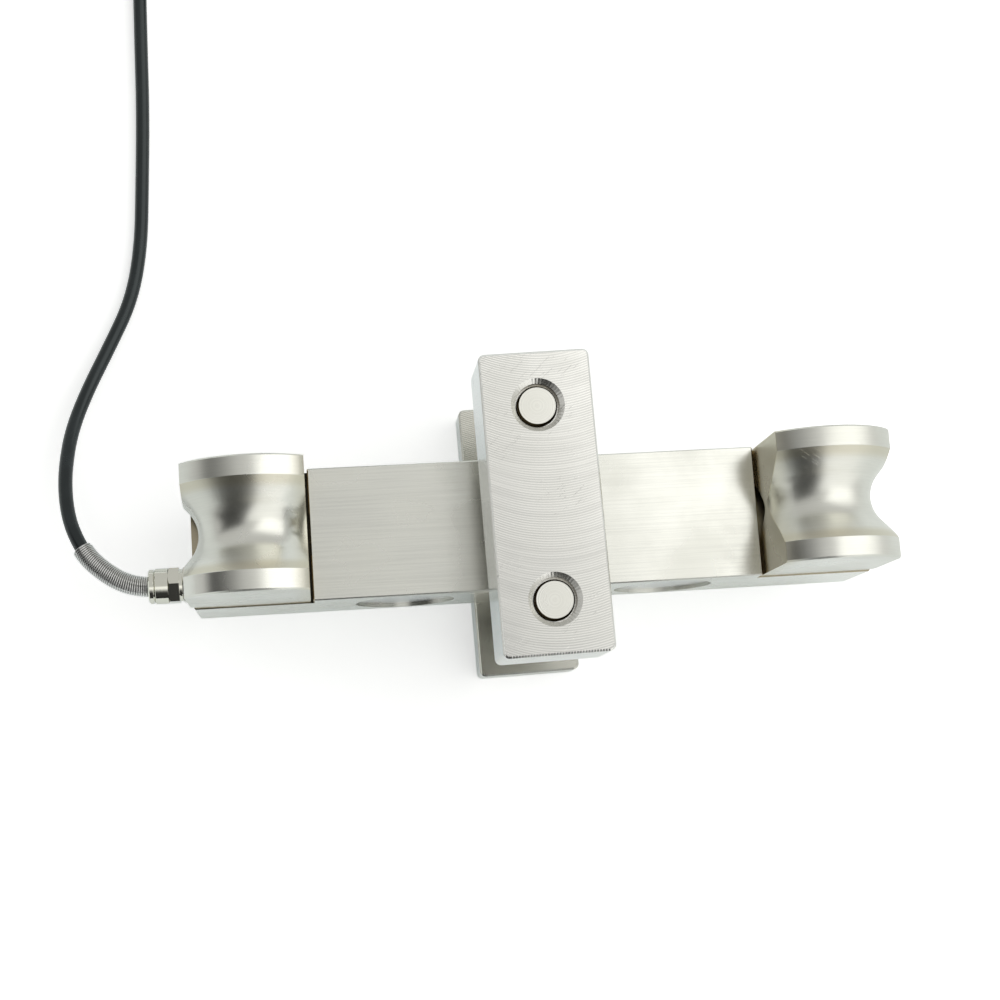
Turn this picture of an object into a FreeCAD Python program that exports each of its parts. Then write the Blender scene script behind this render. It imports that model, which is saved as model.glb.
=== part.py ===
import FreeCAD
import Part
import Sketcher
import math
import os

V = FreeCAD.Vector
Z_AXIS = V(0, 0, 1)
Y_AXIS = V(0, 1, 0)

# Wire rope tension load cell of the clamp-on kind. A steel beam carries a turned saddle at each
# end, and two clamp bars with long screws pull the rope down on the beam between the saddles.
# X runs along the beam, Y across it, Z from the rest face of the rear bar to the rope side.
# The origin is the middle of the rest face.

SIZES = {
    # measuring beam
    "beam_long": 281,
    "beam_wide": 54,
    "beam_high": 48,
    "land_long": 185,
    "ledge_drop": 9.5,
    "edge_break": 0.5,
    # gauge wells in the long sides and their covers
    "well_spacing": 109,
    "well_bore": 35,
    "well_deep": 22,
    "cover_land": 3,
    "cover_seat": 3.5,
    "cover_thick": 2,
    "cover_play": 0.2,
    "cross_bore": 4,
    "cross_offset": 12,
    # rope saddles
    "saddle_spacing": 229.8,
    "saddle_wide": 52.8,
    "saddle_axis_up": 20.8,
    "saddle_inner": 21.4,
    "saddle_outer": 26.9,
    "rim_radius": 32.6,
    "rim_break": 0.7,
    "groove_floor": 21.45,
    "groove_radius": 14,
    "groove_wall_angle": 40.5,
    "groove_overrun": 2,
    "flat_overrun": 1,
    # saddle screws and dowels
    "saddle_screw": 12,
    "saddle_key": 10,
    "saddle_head": 18,
    "saddle_head_high": 12,
    "saddle_head_sink": 13,
    "saddle_screw_long": 50,
    "saddle_hole_spare": 3,
    "hole_play": 1,
    "dowel": 5,
    "dowel_long": 18,
    "dowel_spare": 0.5,
    "dowel_along": 12,
    "dowel_across": 21.5,
    # clamp bars and their screws
    "clamp_x": -2.5,
    "clamp_turn": 1.1,
    "bar_wide": 43,
    "bar_long": 117,
    "bar_corner": 2.5,
    "bar_break": 0.8,
    "rear_thick": 18,
    "front_thick": 36,
    "rope_gap": 20,
    "clamp_screw": 16,
    "clamp_clear": 2.5,
    "clamp_head": 24,
    "clamp_head_high": 9,
    "clamp_key": 12,
    "clamp_key_deep": 5,
    "clamp_screw_short": 2,
    "clamp_tip_break": 0.75,
    "thread_play": 0.2,
    "mouth_relief": 1.2,
    "mouth_deep": 5,
    "mouth_sink": 1.8,
    # cable entry
    "entry_off_web": 9.5,
    "entry_up": 20,
    "lead_play": 0.3,
    "gland_thread": 12,
    "gland_thread_deep": 12,
    "gland_stub": 9,
    "ring_section": 1.2,
    "gland_hex": 14,
    "hex_overrun": 0.2,
    "collar_overlap": 1,
    "gland_hex_end": 5.2,
    "neck": 11,
    "neck_end": 11,
    "nut_start": 5.5,
    "nut_rim": 13.4,
    "nut_rim_end": 6.3,
    "nut_hex_start": 6.6,
    "nut_root": 0.5,
    "nut_hex_end": 11.2,
    "nut_collar": 14.8,
    "nut_collar_end": 16.9,
    "nut_shoulder": 13.2,
    "nut_bead": 14.3,
    "nut_end": 19.3,
    "nut_break": 0.6,
    "nut_notch": 0.35,
    "seal_bore": 9.4,
    "seal_start": 7.5,
    "gland_play": 0.2,
    # bend guard, cable and coil
    "cable": 6,
    "jacket": 0.3,
    "cable_play": 0.3,
    "spring_wire": 1,
    "spring_play": 0.1,
    "coil_mean": 37,
    "coil_wide": 36,
    "coil_layers": 2,
    "coil_play": 0.1,
    "coil_corner": 2.5,
    "coil_front": 265,
    "coil_stub": 28,
    "tie_thick": 1.2,
    "tie_wide": 4,
    "tie_play": 0.3,
    "tie_head": 6,
    "tie_head_high": 4.8,
    "tie_angle": 45,
    # electrical pieces inside the wells
    "gauge_long": 10,
    "gauge_wide": 6,
    "gauge_thick": 0.2,
    "bond": 0.05,
    "cross_lead": 3.4,
    "board_long": 22,
    "board_wide": 12,
    "board_thick": 1.6,
    "post": 3,
    "post_offset": 8,
    "lead_slack": 3,
    "lead_stand": 1,
    "core": 1.3,
    "core_gap": 0.13,
    "core_long": 32,
}

# Route of the loose cable from the gland to the coil, through the middle of the cable.
ROUTE = [
    V(-159.8, -14.5, 38.0),
    V(-167.0, -14.5, 38.0),
    V(-174.4, -11.8, 37.7),
    V(-180.6, -6.9, 36.9),
    V(-185.2, -1.0, 35.9),
    V(-188.9, 6.6, 34.3),
    V(-191.7, 15.8, 31.6),
    V(-193.7, 27.5, 27.3),
    V(-194.5, 41.0, 21.4),
    V(-192.7, 57.5, 15.0),
    V(-187.6, 75.5, 9.4),
    V(-178.3, 95.5, 5.4),
    V(-168.0, 117.5, 3.6),
    V(-161.8, 142.0, 3.1),
    V(-159.0, 171.0, 3.0),
    V(-157.4, 205.0, 3.1),
    V(-157.0, 239.0, 3.6),
    V(-156.5, 269.0, 4.3),
    V(-156.5, 292.0, 4.3),
]

# Route of the free end where it leaves the coil; it ends level, just off the floor.
TAIL = [
    V(-76.5, 372.0, 10.3),
    V(-66.0, 372.0, 10.3),
    V(-54.5, 373.0, 8.4),
    V(-43.0, 375.4, 5.0),
    V(-31.5, 378.8, 3.1),
    V(-20.5, 382.2, 3.1),
]

# Share of the shorter run that an arc takes at a corner of a route.
ARC_SHARE = 0.45
NEAR = 1e-5

# The bend guard ends half way between this corner of the route and the next.
GUARD_CORNER = 4

doc = FreeCAD.newDocument("RopeLoadCell")
sheet = doc.addObject("Spreadsheet::Sheet", "Sizes")
for row, (name, size) in enumerate(SIZES.items(), start=1):
    sheet.set(f"A{row}", name)
    sheet.set(f"B{row}", str(size))
    sheet.setAlias(f"B{row}", name)
doc.recompute()

# Places that several pieces share.
BEAM_BOTTOM = "Sizes.rear_thick"
BEAM_TOP = "(Sizes.rear_thick + Sizes.beam_high)"
BEAM_END = "(Sizes.beam_long / 2)"
HALF_WIDE = "(Sizes.beam_wide / 2)"
SADDLE_HALF = "(Sizes.saddle_wide / 2)"
LEDGE = "(Sizes.rear_thick + Sizes.beam_high - Sizes.ledge_drop)"
SADDLE_X = "(Sizes.saddle_spacing / 2)"
WELL_X = "(Sizes.well_spacing / 2)"
WELL_Z = "(Sizes.rear_thick + Sizes.beam_high / 2)"
WEB = "(Sizes.beam_wide / 2 - Sizes.well_deep)"
ENTRY_Y = f"(-{WEB} - Sizes.entry_off_web)"
ENTRY_Z = "(Sizes.rear_thick + Sizes.entry_up)"
BUNDLE = "(Sizes.cable - 2 * Sizes.jacket)"
LEAD_BORE = f"({BUNDLE} + 2 * Sizes.lead_play)"
CLAMP_Y = "(Sizes.beam_wide / 2 + Sizes.clamp_clear + Sizes.clamp_screw / 2)"
COVER_BORE = "(Sizes.well_bore + 2 * Sizes.cover_land)"
FRONT_BOTTOM = "(Sizes.rear_thick + Sizes.beam_high + Sizes.rope_gap)"
SIDES = (-1, 1)


def number(length):
    """Value of an expression in the sheet's sizes, as a plain float."""
    value = sheet.evalExpression(length)
    return float(getattr(value, "Value", value))


def place(piece, x="0", y="0", z="0"):
    for axis, length in zip("xyz", (x, y, z)):
        piece.setExpression("Placement.Base." + axis, length)


def new_body(label, x="0", y="0", z="0", turn=None):
    piece = doc.addObject("PartDesign::Body", label)
    piece.Label = label
    if turn:
        piece.Placement = FreeCAD.Placement(V(), turn)
    place(piece, x, y, z)
    return piece


def sketch(piece, role, name, lift="0"):
    """Empty sketch on one of the body's own planes; the XZ plane faces -Y."""
    drawing = piece.newObject("Sketcher::SketchObject", name)
    plane = [item for item in piece.Origin.OriginFeatures if item.Role == role][0]
    drawing.AttachmentSupport = [(plane, "")]
    drawing.MapMode = "FlatFace"
    drawing.setExpression("AttachmentOffset.Base.z", lift)
    return drawing


def fix_point(drawing, item, end, x, y):
    """Hold one point of the sketch at a place written in the sheet's sizes."""
    for kind, axis, length in (("DistanceX", -2, x), ("DistanceY", -1, y)):
        value = number(length)
        if abs(value) < NEAR:
            drawing.addConstraint(Sketcher.Constraint("PointOnObject", item, end, axis))
            continue
        ends = (-1, 1, item, end) if value > 0 else (item, end, -1, 1)
        index = drawing.addConstraint(Sketcher.Constraint(kind, *ends, abs(value)))
        signed = length if value > 0 else f"-({length})"
        drawing.setExpression(f"Constraints[{index}]", signed)


def circle(drawing, x, y, diameter):
    middle = V(number(x), number(y), 0)
    item = drawing.addGeometry(Part.Circle(middle, Z_AXIS, number(diameter) / 2), False)
    fix_point(drawing, item, 3, x, y)
    index = drawing.addConstraint(Sketcher.Constraint("Diameter", item, number(diameter)))
    drawing.setExpression(f"Constraints[{index}]", diameter)


def outline(drawing, corners):
    """Closed chain of straight lines through corners written in the sheet's sizes."""
    points = [V(number(x), number(y), 0) for x, y in corners]
    following = points[1:] + points[:1]
    items = [
        drawing.addGeometry(Part.LineSegment(start, end), False)
        for start, end in zip(points, following)
    ]
    for item, after in zip(items, items[1:] + items[:1]):
        drawing.addConstraint(Sketcher.Constraint("Coincident", item, 2, after, 1))
    for item, (x, y) in zip(items, corners):
        fix_point(drawing, item, 1, x, y)


def rectangle(drawing, left, right, low, high):
    outline(drawing, [(left, low), (right, low), (right, high), (left, high)])


def hexagon(drawing, flats):
    """Hexagon with two corners on the sketch's X axis."""
    out = f"{flats} / sqrt(3)"
    half = f"{flats} / sqrt(3) / 2"
    side = f"{flats} / 2"
    outline(drawing, [
        (out, "0"), (half, side), (f"-{half}", side),
        (f"-{out}", "0"), (f"-{half}", f"-{side}"), (half, f"-{side}"),
    ])


def pad(piece, drawing, length, both_ways=False, backward=False):
    feature = piece.newObject("PartDesign::Pad", drawing.Name + "_pad")
    feature.Profile = drawing
    feature.setExpression("Length", length)
    feature.SideType = "Symmetric" if both_ways else "One side"
    feature.Reversed = backward
    doc.recompute()
    return feature


def pocket(piece, drawing, depth, forward=False):
    """Cut against the sketch's normal, or along it, and make sure that metal goes."""
    before = piece.Shape.Volume
    feature = piece.newObject("PartDesign::Pocket", drawing.Name + "_cut")
    feature.Profile = drawing
    feature.setExpression("Length", depth)
    feature.Reversed = forward
    doc.recompute()
    if piece.Shape.Volume >= before:
        raise RuntimeError(drawing.Name + " cuts nothing")
    return feature


def revolve(piece, drawing):
    """Turn a sketch on the XZ or XY plane round the sketch's Y axis."""
    feature = piece.newObject("PartDesign::Revolution", drawing.Name + "_turned")
    feature.Profile = drawing
    feature.ReferenceAxis = (drawing, ["V_Axis"])
    feature.Angle = 360
    doc.recompute()
    return feature


def groove(piece, drawing):
    before = piece.Shape.Volume
    feature = piece.newObject("PartDesign::Groove", drawing.Name + "_turned")
    feature.Profile = drawing
    feature.ReferenceAxis = (drawing, ["V_Axis"])
    feature.Angle = 360
    doc.recompute()
    if piece.Shape.Volume >= before:
        raise RuntimeError(drawing.Name + " cuts nothing")
    return feature


def dress(piece, kind, size, chosen):
    """Fillet or chamfer the body's edges that the test picks."""
    base = piece.Tip
    names = [f"Edge{index}" for index, edge in enumerate(base.Shape.Edges, 1) if chosen(edge)]
    feature = piece.newObject("PartDesign::" + kind, piece.Label + "_" + kind.lower())
    feature.Base = (base, names)
    feature.setExpression("Radius" if kind == "Fillet" else "Size", size)
    doc.recompute()
    return feature


def upright(edge):
    """Straight edge along Z."""
    start, end = edge.Vertexes[0].Point, edge.Vertexes[-1].Point
    return edge.Curve.TypeId == "Part::GeomLine" and abs(end.z - start.z) > edge.Length - NEAR


def flat_at(edge, *heights):
    box = edge.BoundBox
    return any(abs(box.ZMin - z) + abs(box.ZMax - z) < NEAR for z in heights)


def round_at(edge, diameter, height):
    curve = edge.Curve
    return (
        curve.TypeId == "Part::GeomCircle"
        and abs(curve.Radius - diameter / 2) < NEAR
        and abs(curve.Center.z - height) < NEAR
    )


def group(label, pieces):
    """Several like solids under one name."""
    together = doc.addObject("Part::Compound", label)
    together.Label = label
    together.Links = pieces
    doc.recompute()
    return together


# Measuring beam: one milled block with a ledge at each end and four gauge wells.
def make_beam():
    beam = new_body("beam_body", z=BEAM_BOTTOM)
    side = sketch(beam, "XZ_Plane", "beam_side")
    land = "(Sizes.land_long / 2)"
    step = "(Sizes.beam_high - Sizes.ledge_drop)"
    outline(side, [
        (f"-{BEAM_END}", "0"), (BEAM_END, "0"), (BEAM_END, step), (land, step),
        (land, "Sizes.beam_high"), (f"-{land}", "Sizes.beam_high"),
        (f"-{land}", step), (f"-{BEAM_END}", step),
    ])
    pad(beam, side, "Sizes.beam_wide", both_ways=True)
    wide = number(HALF_WIDE)
    top = number("Sizes.beam_high")
    dress(beam, "Chamfer", "Sizes.edge_break", lambda edge: (
        abs(abs(edge.CenterOfMass.y) - wide) < NEAR or flat_at(edge, 0, top)
    ))
    for side_sign, word in zip(SIDES, ("front", "back")):
        face = HALF_WIDE if side_sign < 0 else f"-{HALF_WIDE}"
        for bore, deep, kind in (
            ("Sizes.well_bore", "Sizes.well_deep", "well"),
            (COVER_BORE, "Sizes.cover_seat", "seat"),
        ):
            wells = sketch(beam, "XZ_Plane", f"{kind}_{word}", lift=face)
            for x_sign in SIDES:
                circle(wells, f"{x_sign} * {WELL_X}", "Sizes.beam_high / 2", bore)
            pocket(beam, wells, deep, forward=side_sign > 0)
    through = sketch(beam, "XZ_Plane", "web_bores", lift=WEB)
    for x_sign in SIDES:
        circle(through, f"{x_sign} * {WELL_X} + Sizes.cross_offset",
               "Sizes.beam_high / 2", "Sizes.cross_bore")
    pocket(beam, through, f"2 * {WEB}")
    entry = sketch(beam, "YZ_Plane", "lead_bore", lift=f"-{BEAM_END}")
    circle(entry, ENTRY_Y, "Sizes.entry_up", LEAD_BORE)
    pocket(beam, entry, f"{BEAM_END} + {WELL_X}", forward=True)
    thread = sketch(beam, "YZ_Plane", "gland_hole", lift=f"-{BEAM_END}")
    circle(thread, ENTRY_Y, "Sizes.entry_up", "Sizes.gland_thread")
    pocket(beam, thread, "Sizes.gland_thread_deep", forward=True)
    for bore, deep, kind in (
        ("Sizes.saddle_screw + Sizes.hole_play", step, "saddle_hole"),
        ("Sizes.saddle_head + 2 * Sizes.hole_play", "Sizes.saddle_head_sink", "saddle_sink"),
    ):
        holes = sketch(beam, "XY_Plane", kind)
        for x_sign in SIDES:
            circle(holes, f"{x_sign} * {SADDLE_X}", "0", bore)
        pocket(beam, holes, deep, forward=True)
    pins = sketch(beam, "XY_Plane", "dowel_holes", lift=step)
    for x_sign in SIDES:
        for y_sign in SIDES:
            circle(pins, f"{x_sign} * {SADDLE_X} + {y_sign} * Sizes.dowel_along",
                   f"{y_sign} * Sizes.dowel_across", "Sizes.dowel")
    pocket(beam, pins, "Sizes.dowel_long / 2 + Sizes.dowel_spare")
    return [beam]


# Well covers: round plates pressed into the seats, a little below the sides.
def make_covers():
    covers = []
    for y_sign, word in zip(SIDES, ("front", "back")):
        for x_sign, end in zip(SIDES, ("left", "right")):
            label = f"well_cover_{word}_{end}"
            cover = new_body(label, f"{x_sign} * {WELL_X}",
                             f"{y_sign} * ({HALF_WIDE} - Sizes.cover_seat)", WELL_Z)
            disc = sketch(cover, "XZ_Plane", label + "_disc")
            circle(disc, "0", "0", f"{COVER_BORE} - Sizes.cover_play")
            pad(cover, disc, "Sizes.cover_thick", backward=y_sign > 0)
            covers.append(cover)
    return covers


# Rope saddles: pulley segments. The rim is turned whole, the rope groove is turned right round
# it, and flats are then milled on the inner, outer and lower sides, so that the lower half of the
# groove is left open beside the foot and a thin neck stands at the inner flank.
def make_saddle(label, x_sign):
    turn = FreeCAD.Rotation(Z_AXIS, 0 if x_sign > 0 else 180)
    saddle = new_body(label, f"{x_sign} * {SADDLE_X}", "0",
                      f"{LEDGE} + Sizes.saddle_axis_up", turn)
    wheel = sketch(saddle, "XY_Plane", label + "_wheel")
    edge = "Sizes.rim_radius - Sizes.rim_break"
    face = f"{SADDLE_HALF} - Sizes.rim_break"
    outline(wheel, [
        ("0", f"-{SADDLE_HALF}"), (edge, f"-{SADDLE_HALF}"), ("Sizes.rim_radius", f"-({face})"),
        ("Sizes.rim_radius", face), (edge, SADDLE_HALF), ("0", SADDLE_HALF),
    ])
    revolve(saddle, wheel)
    cutter = sketch(saddle, "XY_Plane", label + "_groove")
    rope_groove(cutter)
    groove(saddle, cutter)
    beyond = "(Sizes.rim_radius + Sizes.flat_overrun)"
    flats = (
        ("inner", f"-{beyond}", "-Sizes.saddle_inner", f"-{beyond}", beyond),
        ("outer", "Sizes.saddle_outer", beyond, f"-{beyond}", beyond),
        ("lower", f"-{beyond}", beyond, f"-{beyond}", "-Sizes.saddle_axis_up"),
    )
    for name, left, right, low, high in flats:
        flat = sketch(saddle, "XZ_Plane", f"{label}_{name}", lift=SADDLE_HALF)
        rectangle(flat, left, right, low, high)
        pocket(saddle, flat, "Sizes.saddle_wide")
    foot = "-Sizes.saddle_axis_up"
    tapped = sketch(saddle, "XY_Plane", label + "_tapped", lift=foot)
    circle(tapped, "0", "0", "Sizes.saddle_screw")
    reach = f"Sizes.saddle_screw_long + Sizes.saddle_head_sink - Sizes.beam_high + Sizes.ledge_drop"
    pocket(saddle, tapped, f"{reach} + Sizes.saddle_hole_spare", forward=True)
    pins = sketch(saddle, "XY_Plane", label + "_pins", lift=foot)
    for y_sign in SIDES:
        circle(pins, f"{y_sign} * Sizes.dowel_along", f"{y_sign} * Sizes.dowel_across",
               "Sizes.dowel")
    pocket(saddle, pins, "Sizes.dowel_long / 2 + Sizes.dowel_spare", forward=True)
    return saddle


def rope_groove(drawing):
    """Round floor with a tangent wall on each side, open beyond the rim."""
    angle = "Sizes.groove_wall_angle"
    centre = "Sizes.groove_floor + Sizes.groove_radius"
    tangent_x = f"{centre} - Sizes.groove_radius * cos({angle})"
    tangent_y = f"Sizes.groove_radius * sin({angle})"
    open_x = "Sizes.rim_radius + Sizes.groove_overrun"
    open_y = f"{tangent_y} + ({open_x} - ({tangent_x})) / tan({angle})"
    near = V(number(tangent_x), number(tangent_y), 0)
    far = V(number(open_x), number(open_y), 0)
    middle = V(number(centre), 0, 0)
    swing = math.radians(number(angle))
    floor = Part.ArcOfCircle(
        Part.Circle(middle, Z_AXIS, number("Sizes.groove_radius")),
        math.pi - swing, math.pi + swing,
    )
    arc = drawing.addGeometry(floor, False)
    low = drawing.addGeometry(Part.LineSegment(V(near.x, -near.y, 0), V(far.x, -far.y, 0)), False)
    lid = drawing.addGeometry(Part.LineSegment(V(far.x, -far.y, 0), far), False)
    high = drawing.addGeometry(Part.LineSegment(far, near), False)
    for item, end, after, start in ((arc, 2, low, 1), (low, 2, lid, 1), (lid, 2, high, 1),
                                    (high, 2, arc, 1)):
        drawing.addConstraint(Sketcher.Constraint("Coincident", item, end, after, start))
    fix_point(drawing, low, 1, tangent_x, f"-({tangent_y})")
    fix_point(drawing, low, 2, open_x, f"-({open_y})")
    fix_point(drawing, high, 1, open_x, open_y)
    fix_point(drawing, high, 2, tangent_x, tangent_y)
    index = drawing.addConstraint(Sketcher.Constraint("DistanceX", -1, 1, arc, 3, middle.x))
    drawing.setExpression(f"Constraints[{index}]", centre)


# Saddle screws: socket head screws from the rest side, up through the beam ends.
def make_saddle_screws():
    screws = []
    for x_sign, word in zip(SIDES, ("left", "right")):
        screw = new_body(f"saddle_screw_{word}", f"{x_sign} * {SADDLE_X}", "0",
                         f"{BEAM_BOTTOM} + Sizes.saddle_head_sink")
        head = sketch(screw, "XY_Plane", f"saddle_head_{word}")
        circle(head, "0", "0", "Sizes.saddle_head")
        pad(screw, head, "Sizes.saddle_head_high", backward=True)
        shank = sketch(screw, "XY_Plane", f"saddle_shank_{word}")
        circle(shank, "0", "0", "Sizes.saddle_screw - Sizes.thread_play")
        pad(screw, shank, "Sizes.saddle_screw_long")
        socket = sketch(screw, "XY_Plane", f"saddle_key_{word}", lift="-Sizes.saddle_head_high")
        hexagon(socket, "Sizes.saddle_key")
        pocket(screw, socket, "Sizes.saddle_screw / 2", forward=True)
        screws.append(screw)
    return [group("saddle_screws", screws)]


# Dowels: two plain pins under each saddle, half in the beam and half in the saddle.
def make_dowels():
    dowels = []
    for x_sign in SIDES:
        for y_sign in SIDES:
            pin = doc.addObject("Part::Cylinder", "dowel_pin")
            pin.setExpression("Radius", "Sizes.dowel / 2")
            pin.setExpression("Height", "Sizes.dowel_long")
            place(pin, f"{x_sign} * {SADDLE_X} + {y_sign} * Sizes.dowel_along",
                  f"{y_sign} * Sizes.dowel_across", f"{LEDGE} - Sizes.dowel_long / 2")
            dowels.append(pin)
    return [group("saddle_dowels", dowels)]


# Clamp bars: milled blocks with rounded corners, one behind the beam and one over the rope. The
# whole clamp is pulled up a little askew on the beam.
CLAMP_TURN = FreeCAD.Rotation(Z_AXIS, number("Sizes.clamp_turn"))


def make_bar(label, thick, z):
    bar = new_body(label, "Sizes.clamp_x", "0", z, CLAMP_TURN)
    block = sketch(bar, "XY_Plane", label + "_block")
    half = "Sizes.bar_wide / 2"
    end = "Sizes.bar_long / 2"
    rectangle(block, f"-{half}", half, f"-{end}", end)
    pad(bar, block, thick)
    dress(bar, "Fillet", "Sizes.bar_corner", upright)
    height = number(thick)
    dress(bar, "Chamfer", "Sizes.bar_break", lambda edge: flat_at(edge, 0, height))
    return bar


def clamp_holes(bar, name, diameter, depth, lift="0", forward=False):
    holes = sketch(bar, "XY_Plane", name, lift=lift)
    for y_sign in SIDES:
        circle(holes, "0", f"{y_sign} * {CLAMP_Y}", diameter)
    pocket(bar, holes, depth, forward=forward)


def make_rear_bar():
    bar = make_bar("clamp_rear_bar", "Sizes.rear_thick", "0")
    clamp_holes(bar, "rear_clearance", "Sizes.clamp_screw + Sizes.hole_play",
                "Sizes.rear_thick", forward=True)
    clamp_holes(bar, "rear_counterbore", "Sizes.clamp_head + 2 * Sizes.hole_play",
                "Sizes.clamp_head_high", forward=True)
    return [bar]


# The tapped holes of the front bar open in a relieved mouth with a countersink.
def make_front_bar():
    bar = make_bar("clamp_front_bar", "Sizes.front_thick", FRONT_BOTTOM)
    clamp_holes(bar, "front_tapped", "Sizes.clamp_screw", "Sizes.front_thick",
                lift="Sizes.front_thick")
    relief = "Sizes.clamp_screw + Sizes.mouth_relief"
    clamp_holes(bar, "front_mouth", relief, "Sizes.mouth_deep", lift="Sizes.front_thick")
    mouth = number(relief)
    top = number("Sizes.front_thick")
    dress(bar, "Chamfer", "Sizes.mouth_sink", lambda edge: round_at(edge, mouth, top))
    return [bar]


# Clamp screws: low heads flush in the rear bar, shanks beside the beam, tips in the front bar.
def make_clamp_screws():
    screws = []
    tip = (f"({FRONT_BOTTOM} + Sizes.front_thick - Sizes.clamp_screw_short"
           " - Sizes.clamp_head_high)")
    for y_sign, word in zip(SIDES, ("front", "back")):
        screw = new_body(f"clamp_screw_{word}",
                         f"Sizes.clamp_x - {y_sign} * {CLAMP_Y} * sin(Sizes.clamp_turn)",
                         f"{y_sign} * {CLAMP_Y} * cos(Sizes.clamp_turn)",
                         "Sizes.clamp_head_high")
        head = sketch(screw, "XY_Plane", f"clamp_head_{word}")
        circle(head, "0", "0", "Sizes.clamp_head")
        pad(screw, head, "Sizes.clamp_head_high", backward=True)
        shank = sketch(screw, "XY_Plane", f"clamp_shank_{word}")
        circle(shank, "0", "0", "Sizes.clamp_screw - Sizes.thread_play")
        pad(screw, shank, tip)
        end = number(tip)
        dress(screw, "Chamfer", "Sizes.clamp_tip_break", lambda edge: flat_at(edge, end))
        socket = sketch(screw, "XY_Plane", f"clamp_key_{word}", lift="-Sizes.clamp_head_high")
        hexagon(socket, "Sizes.clamp_key")
        pocket(screw, socket, "Sizes.clamp_key_deep", forward=True)
        screws.append(screw)
    return [group("clamp_screws", screws)]


# Cable gland: built along its own Z, which points out of the beam end along -X.
OUTWARD = FreeCAD.Rotation(Y_AXIS, -90)


def gland_body(label):
    return new_body(label, f"-{BEAM_END}", ENTRY_Y, ENTRY_Z, OUTWARD)


def hex_collar(piece, name, bore, start, end):
    """Hexagon with a turned chamfer on its outer end, round a bored middle."""
    ring = sketch(piece, "XY_Plane", name, lift=start)
    hexagon(ring, "Sizes.gland_hex")
    circle(ring, "0", "0", bore)
    pad(piece, ring, f"{end} - {start}")
    flat = "Sizes.gland_hex / 2"
    corner = "Sizes.gland_hex / sqrt(3) + Sizes.hex_overrun"
    slope = f"({corner} - {flat}) * tan(30)"
    bevel = sketch(piece, "XZ_Plane", name + "_bevel")
    outline(bevel, [(flat, end), (corner, end), (corner, f"{end} - {slope}")])
    groove(piece, bevel)


def make_gland():
    stub = gland_body("gland_body")
    half = sketch(stub, "XZ_Plane", "gland_section")
    bore = "(Sizes.cable / 2 + Sizes.cable_play)"
    thread = "(Sizes.gland_thread - Sizes.thread_play) / 2"
    outline(half, [
        (bore, "-Sizes.gland_stub"), (thread, "-Sizes.gland_stub"),
        (thread, "Sizes.gland_hex_end"), ("Sizes.neck / 2", "Sizes.gland_hex_end"),
        ("Sizes.neck / 2", "Sizes.neck_end"), ("Sizes.seal_bore / 2", "Sizes.neck_end"),
        ("Sizes.seal_bore / 2", "Sizes.seal_start"), (bore, "Sizes.seal_start"),
    ])
    revolve(stub, half)
    hex_collar(stub, "gland_hexagon", "Sizes.neck - Sizes.collar_overlap",
               "Sizes.ring_section", "Sizes.gland_hex_end")

    ring = doc.addObject("Part::Torus", "gland_oring")
    ring.Label = "gland_oring"
    ring.setExpression("Radius2", "Sizes.ring_section / 2")
    ring.setExpression("Radius1", "(Sizes.gland_thread + Sizes.ring_section) / 2")
    ring.Placement = FreeCAD.Placement(V(), OUTWARD)
    place(ring, f"-{BEAM_END} - Sizes.ring_section / 2", ENTRY_Y, ENTRY_Z)

    seal = gland_body("gland_seal")
    tube = sketch(seal, "XY_Plane", "seal_section", lift="Sizes.seal_start")
    circle(tube, "0", "0", "Sizes.seal_bore - Sizes.gland_play")
    circle(tube, "0", "0", "Sizes.cable + Sizes.gland_play")
    pad(seal, tube, "Sizes.nut_shoulder - Sizes.seal_start")
    return [stub, ring, seal, make_gland_nut()]


def make_gland_nut():
    nut = gland_body("gland_nut")
    half = sketch(nut, "XZ_Plane", "nut_section")
    thread = "(Sizes.neck + Sizes.gland_play) / 2"
    rim = "Sizes.nut_rim / 2"
    root = "Sizes.nut_rim / 2 - Sizes.nut_root"
    collar = "Sizes.nut_collar / 2"
    bead = "Sizes.nut_bead / 2"
    mouth = "(Sizes.cable / 2 + Sizes.spring_play + Sizes.spring_wire + Sizes.gland_play)"
    notch = "Sizes.nut_collar_end + Sizes.nut_notch"
    outline(half, [
        (thread, "Sizes.nut_start"), (rim, "Sizes.nut_start"), (rim, "Sizes.nut_rim_end"),
        (root, "Sizes.nut_rim_end"), (root, "Sizes.nut_hex_end"),
        (collar, "Sizes.nut_hex_end"), (collar, "Sizes.nut_collar_end"),
        (root, "Sizes.nut_collar_end"), (root, notch), (bead, notch),
        (bead, "Sizes.nut_end"), (mouth, "Sizes.nut_end"), (mouth, "Sizes.nut_shoulder"),
        (thread, "Sizes.nut_shoulder"),
    ])
    revolve(nut, half)
    hex_collar(nut, "nut_hexagon", "Sizes.nut_rim - 2 * Sizes.collar_overlap",
               "Sizes.nut_hex_start", "Sizes.nut_hex_end")
    collar_size = number("Sizes.nut_collar")
    collar_end = number("Sizes.nut_collar_end")
    bead_size = number("Sizes.nut_bead")
    nut_end = number("Sizes.nut_end")
    dress(nut, "Chamfer", "Sizes.nut_break", lambda edge: (
        round_at(edge, collar_size, collar_end) or round_at(edge, bead_size, nut_end)
    ))
    return nut


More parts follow.
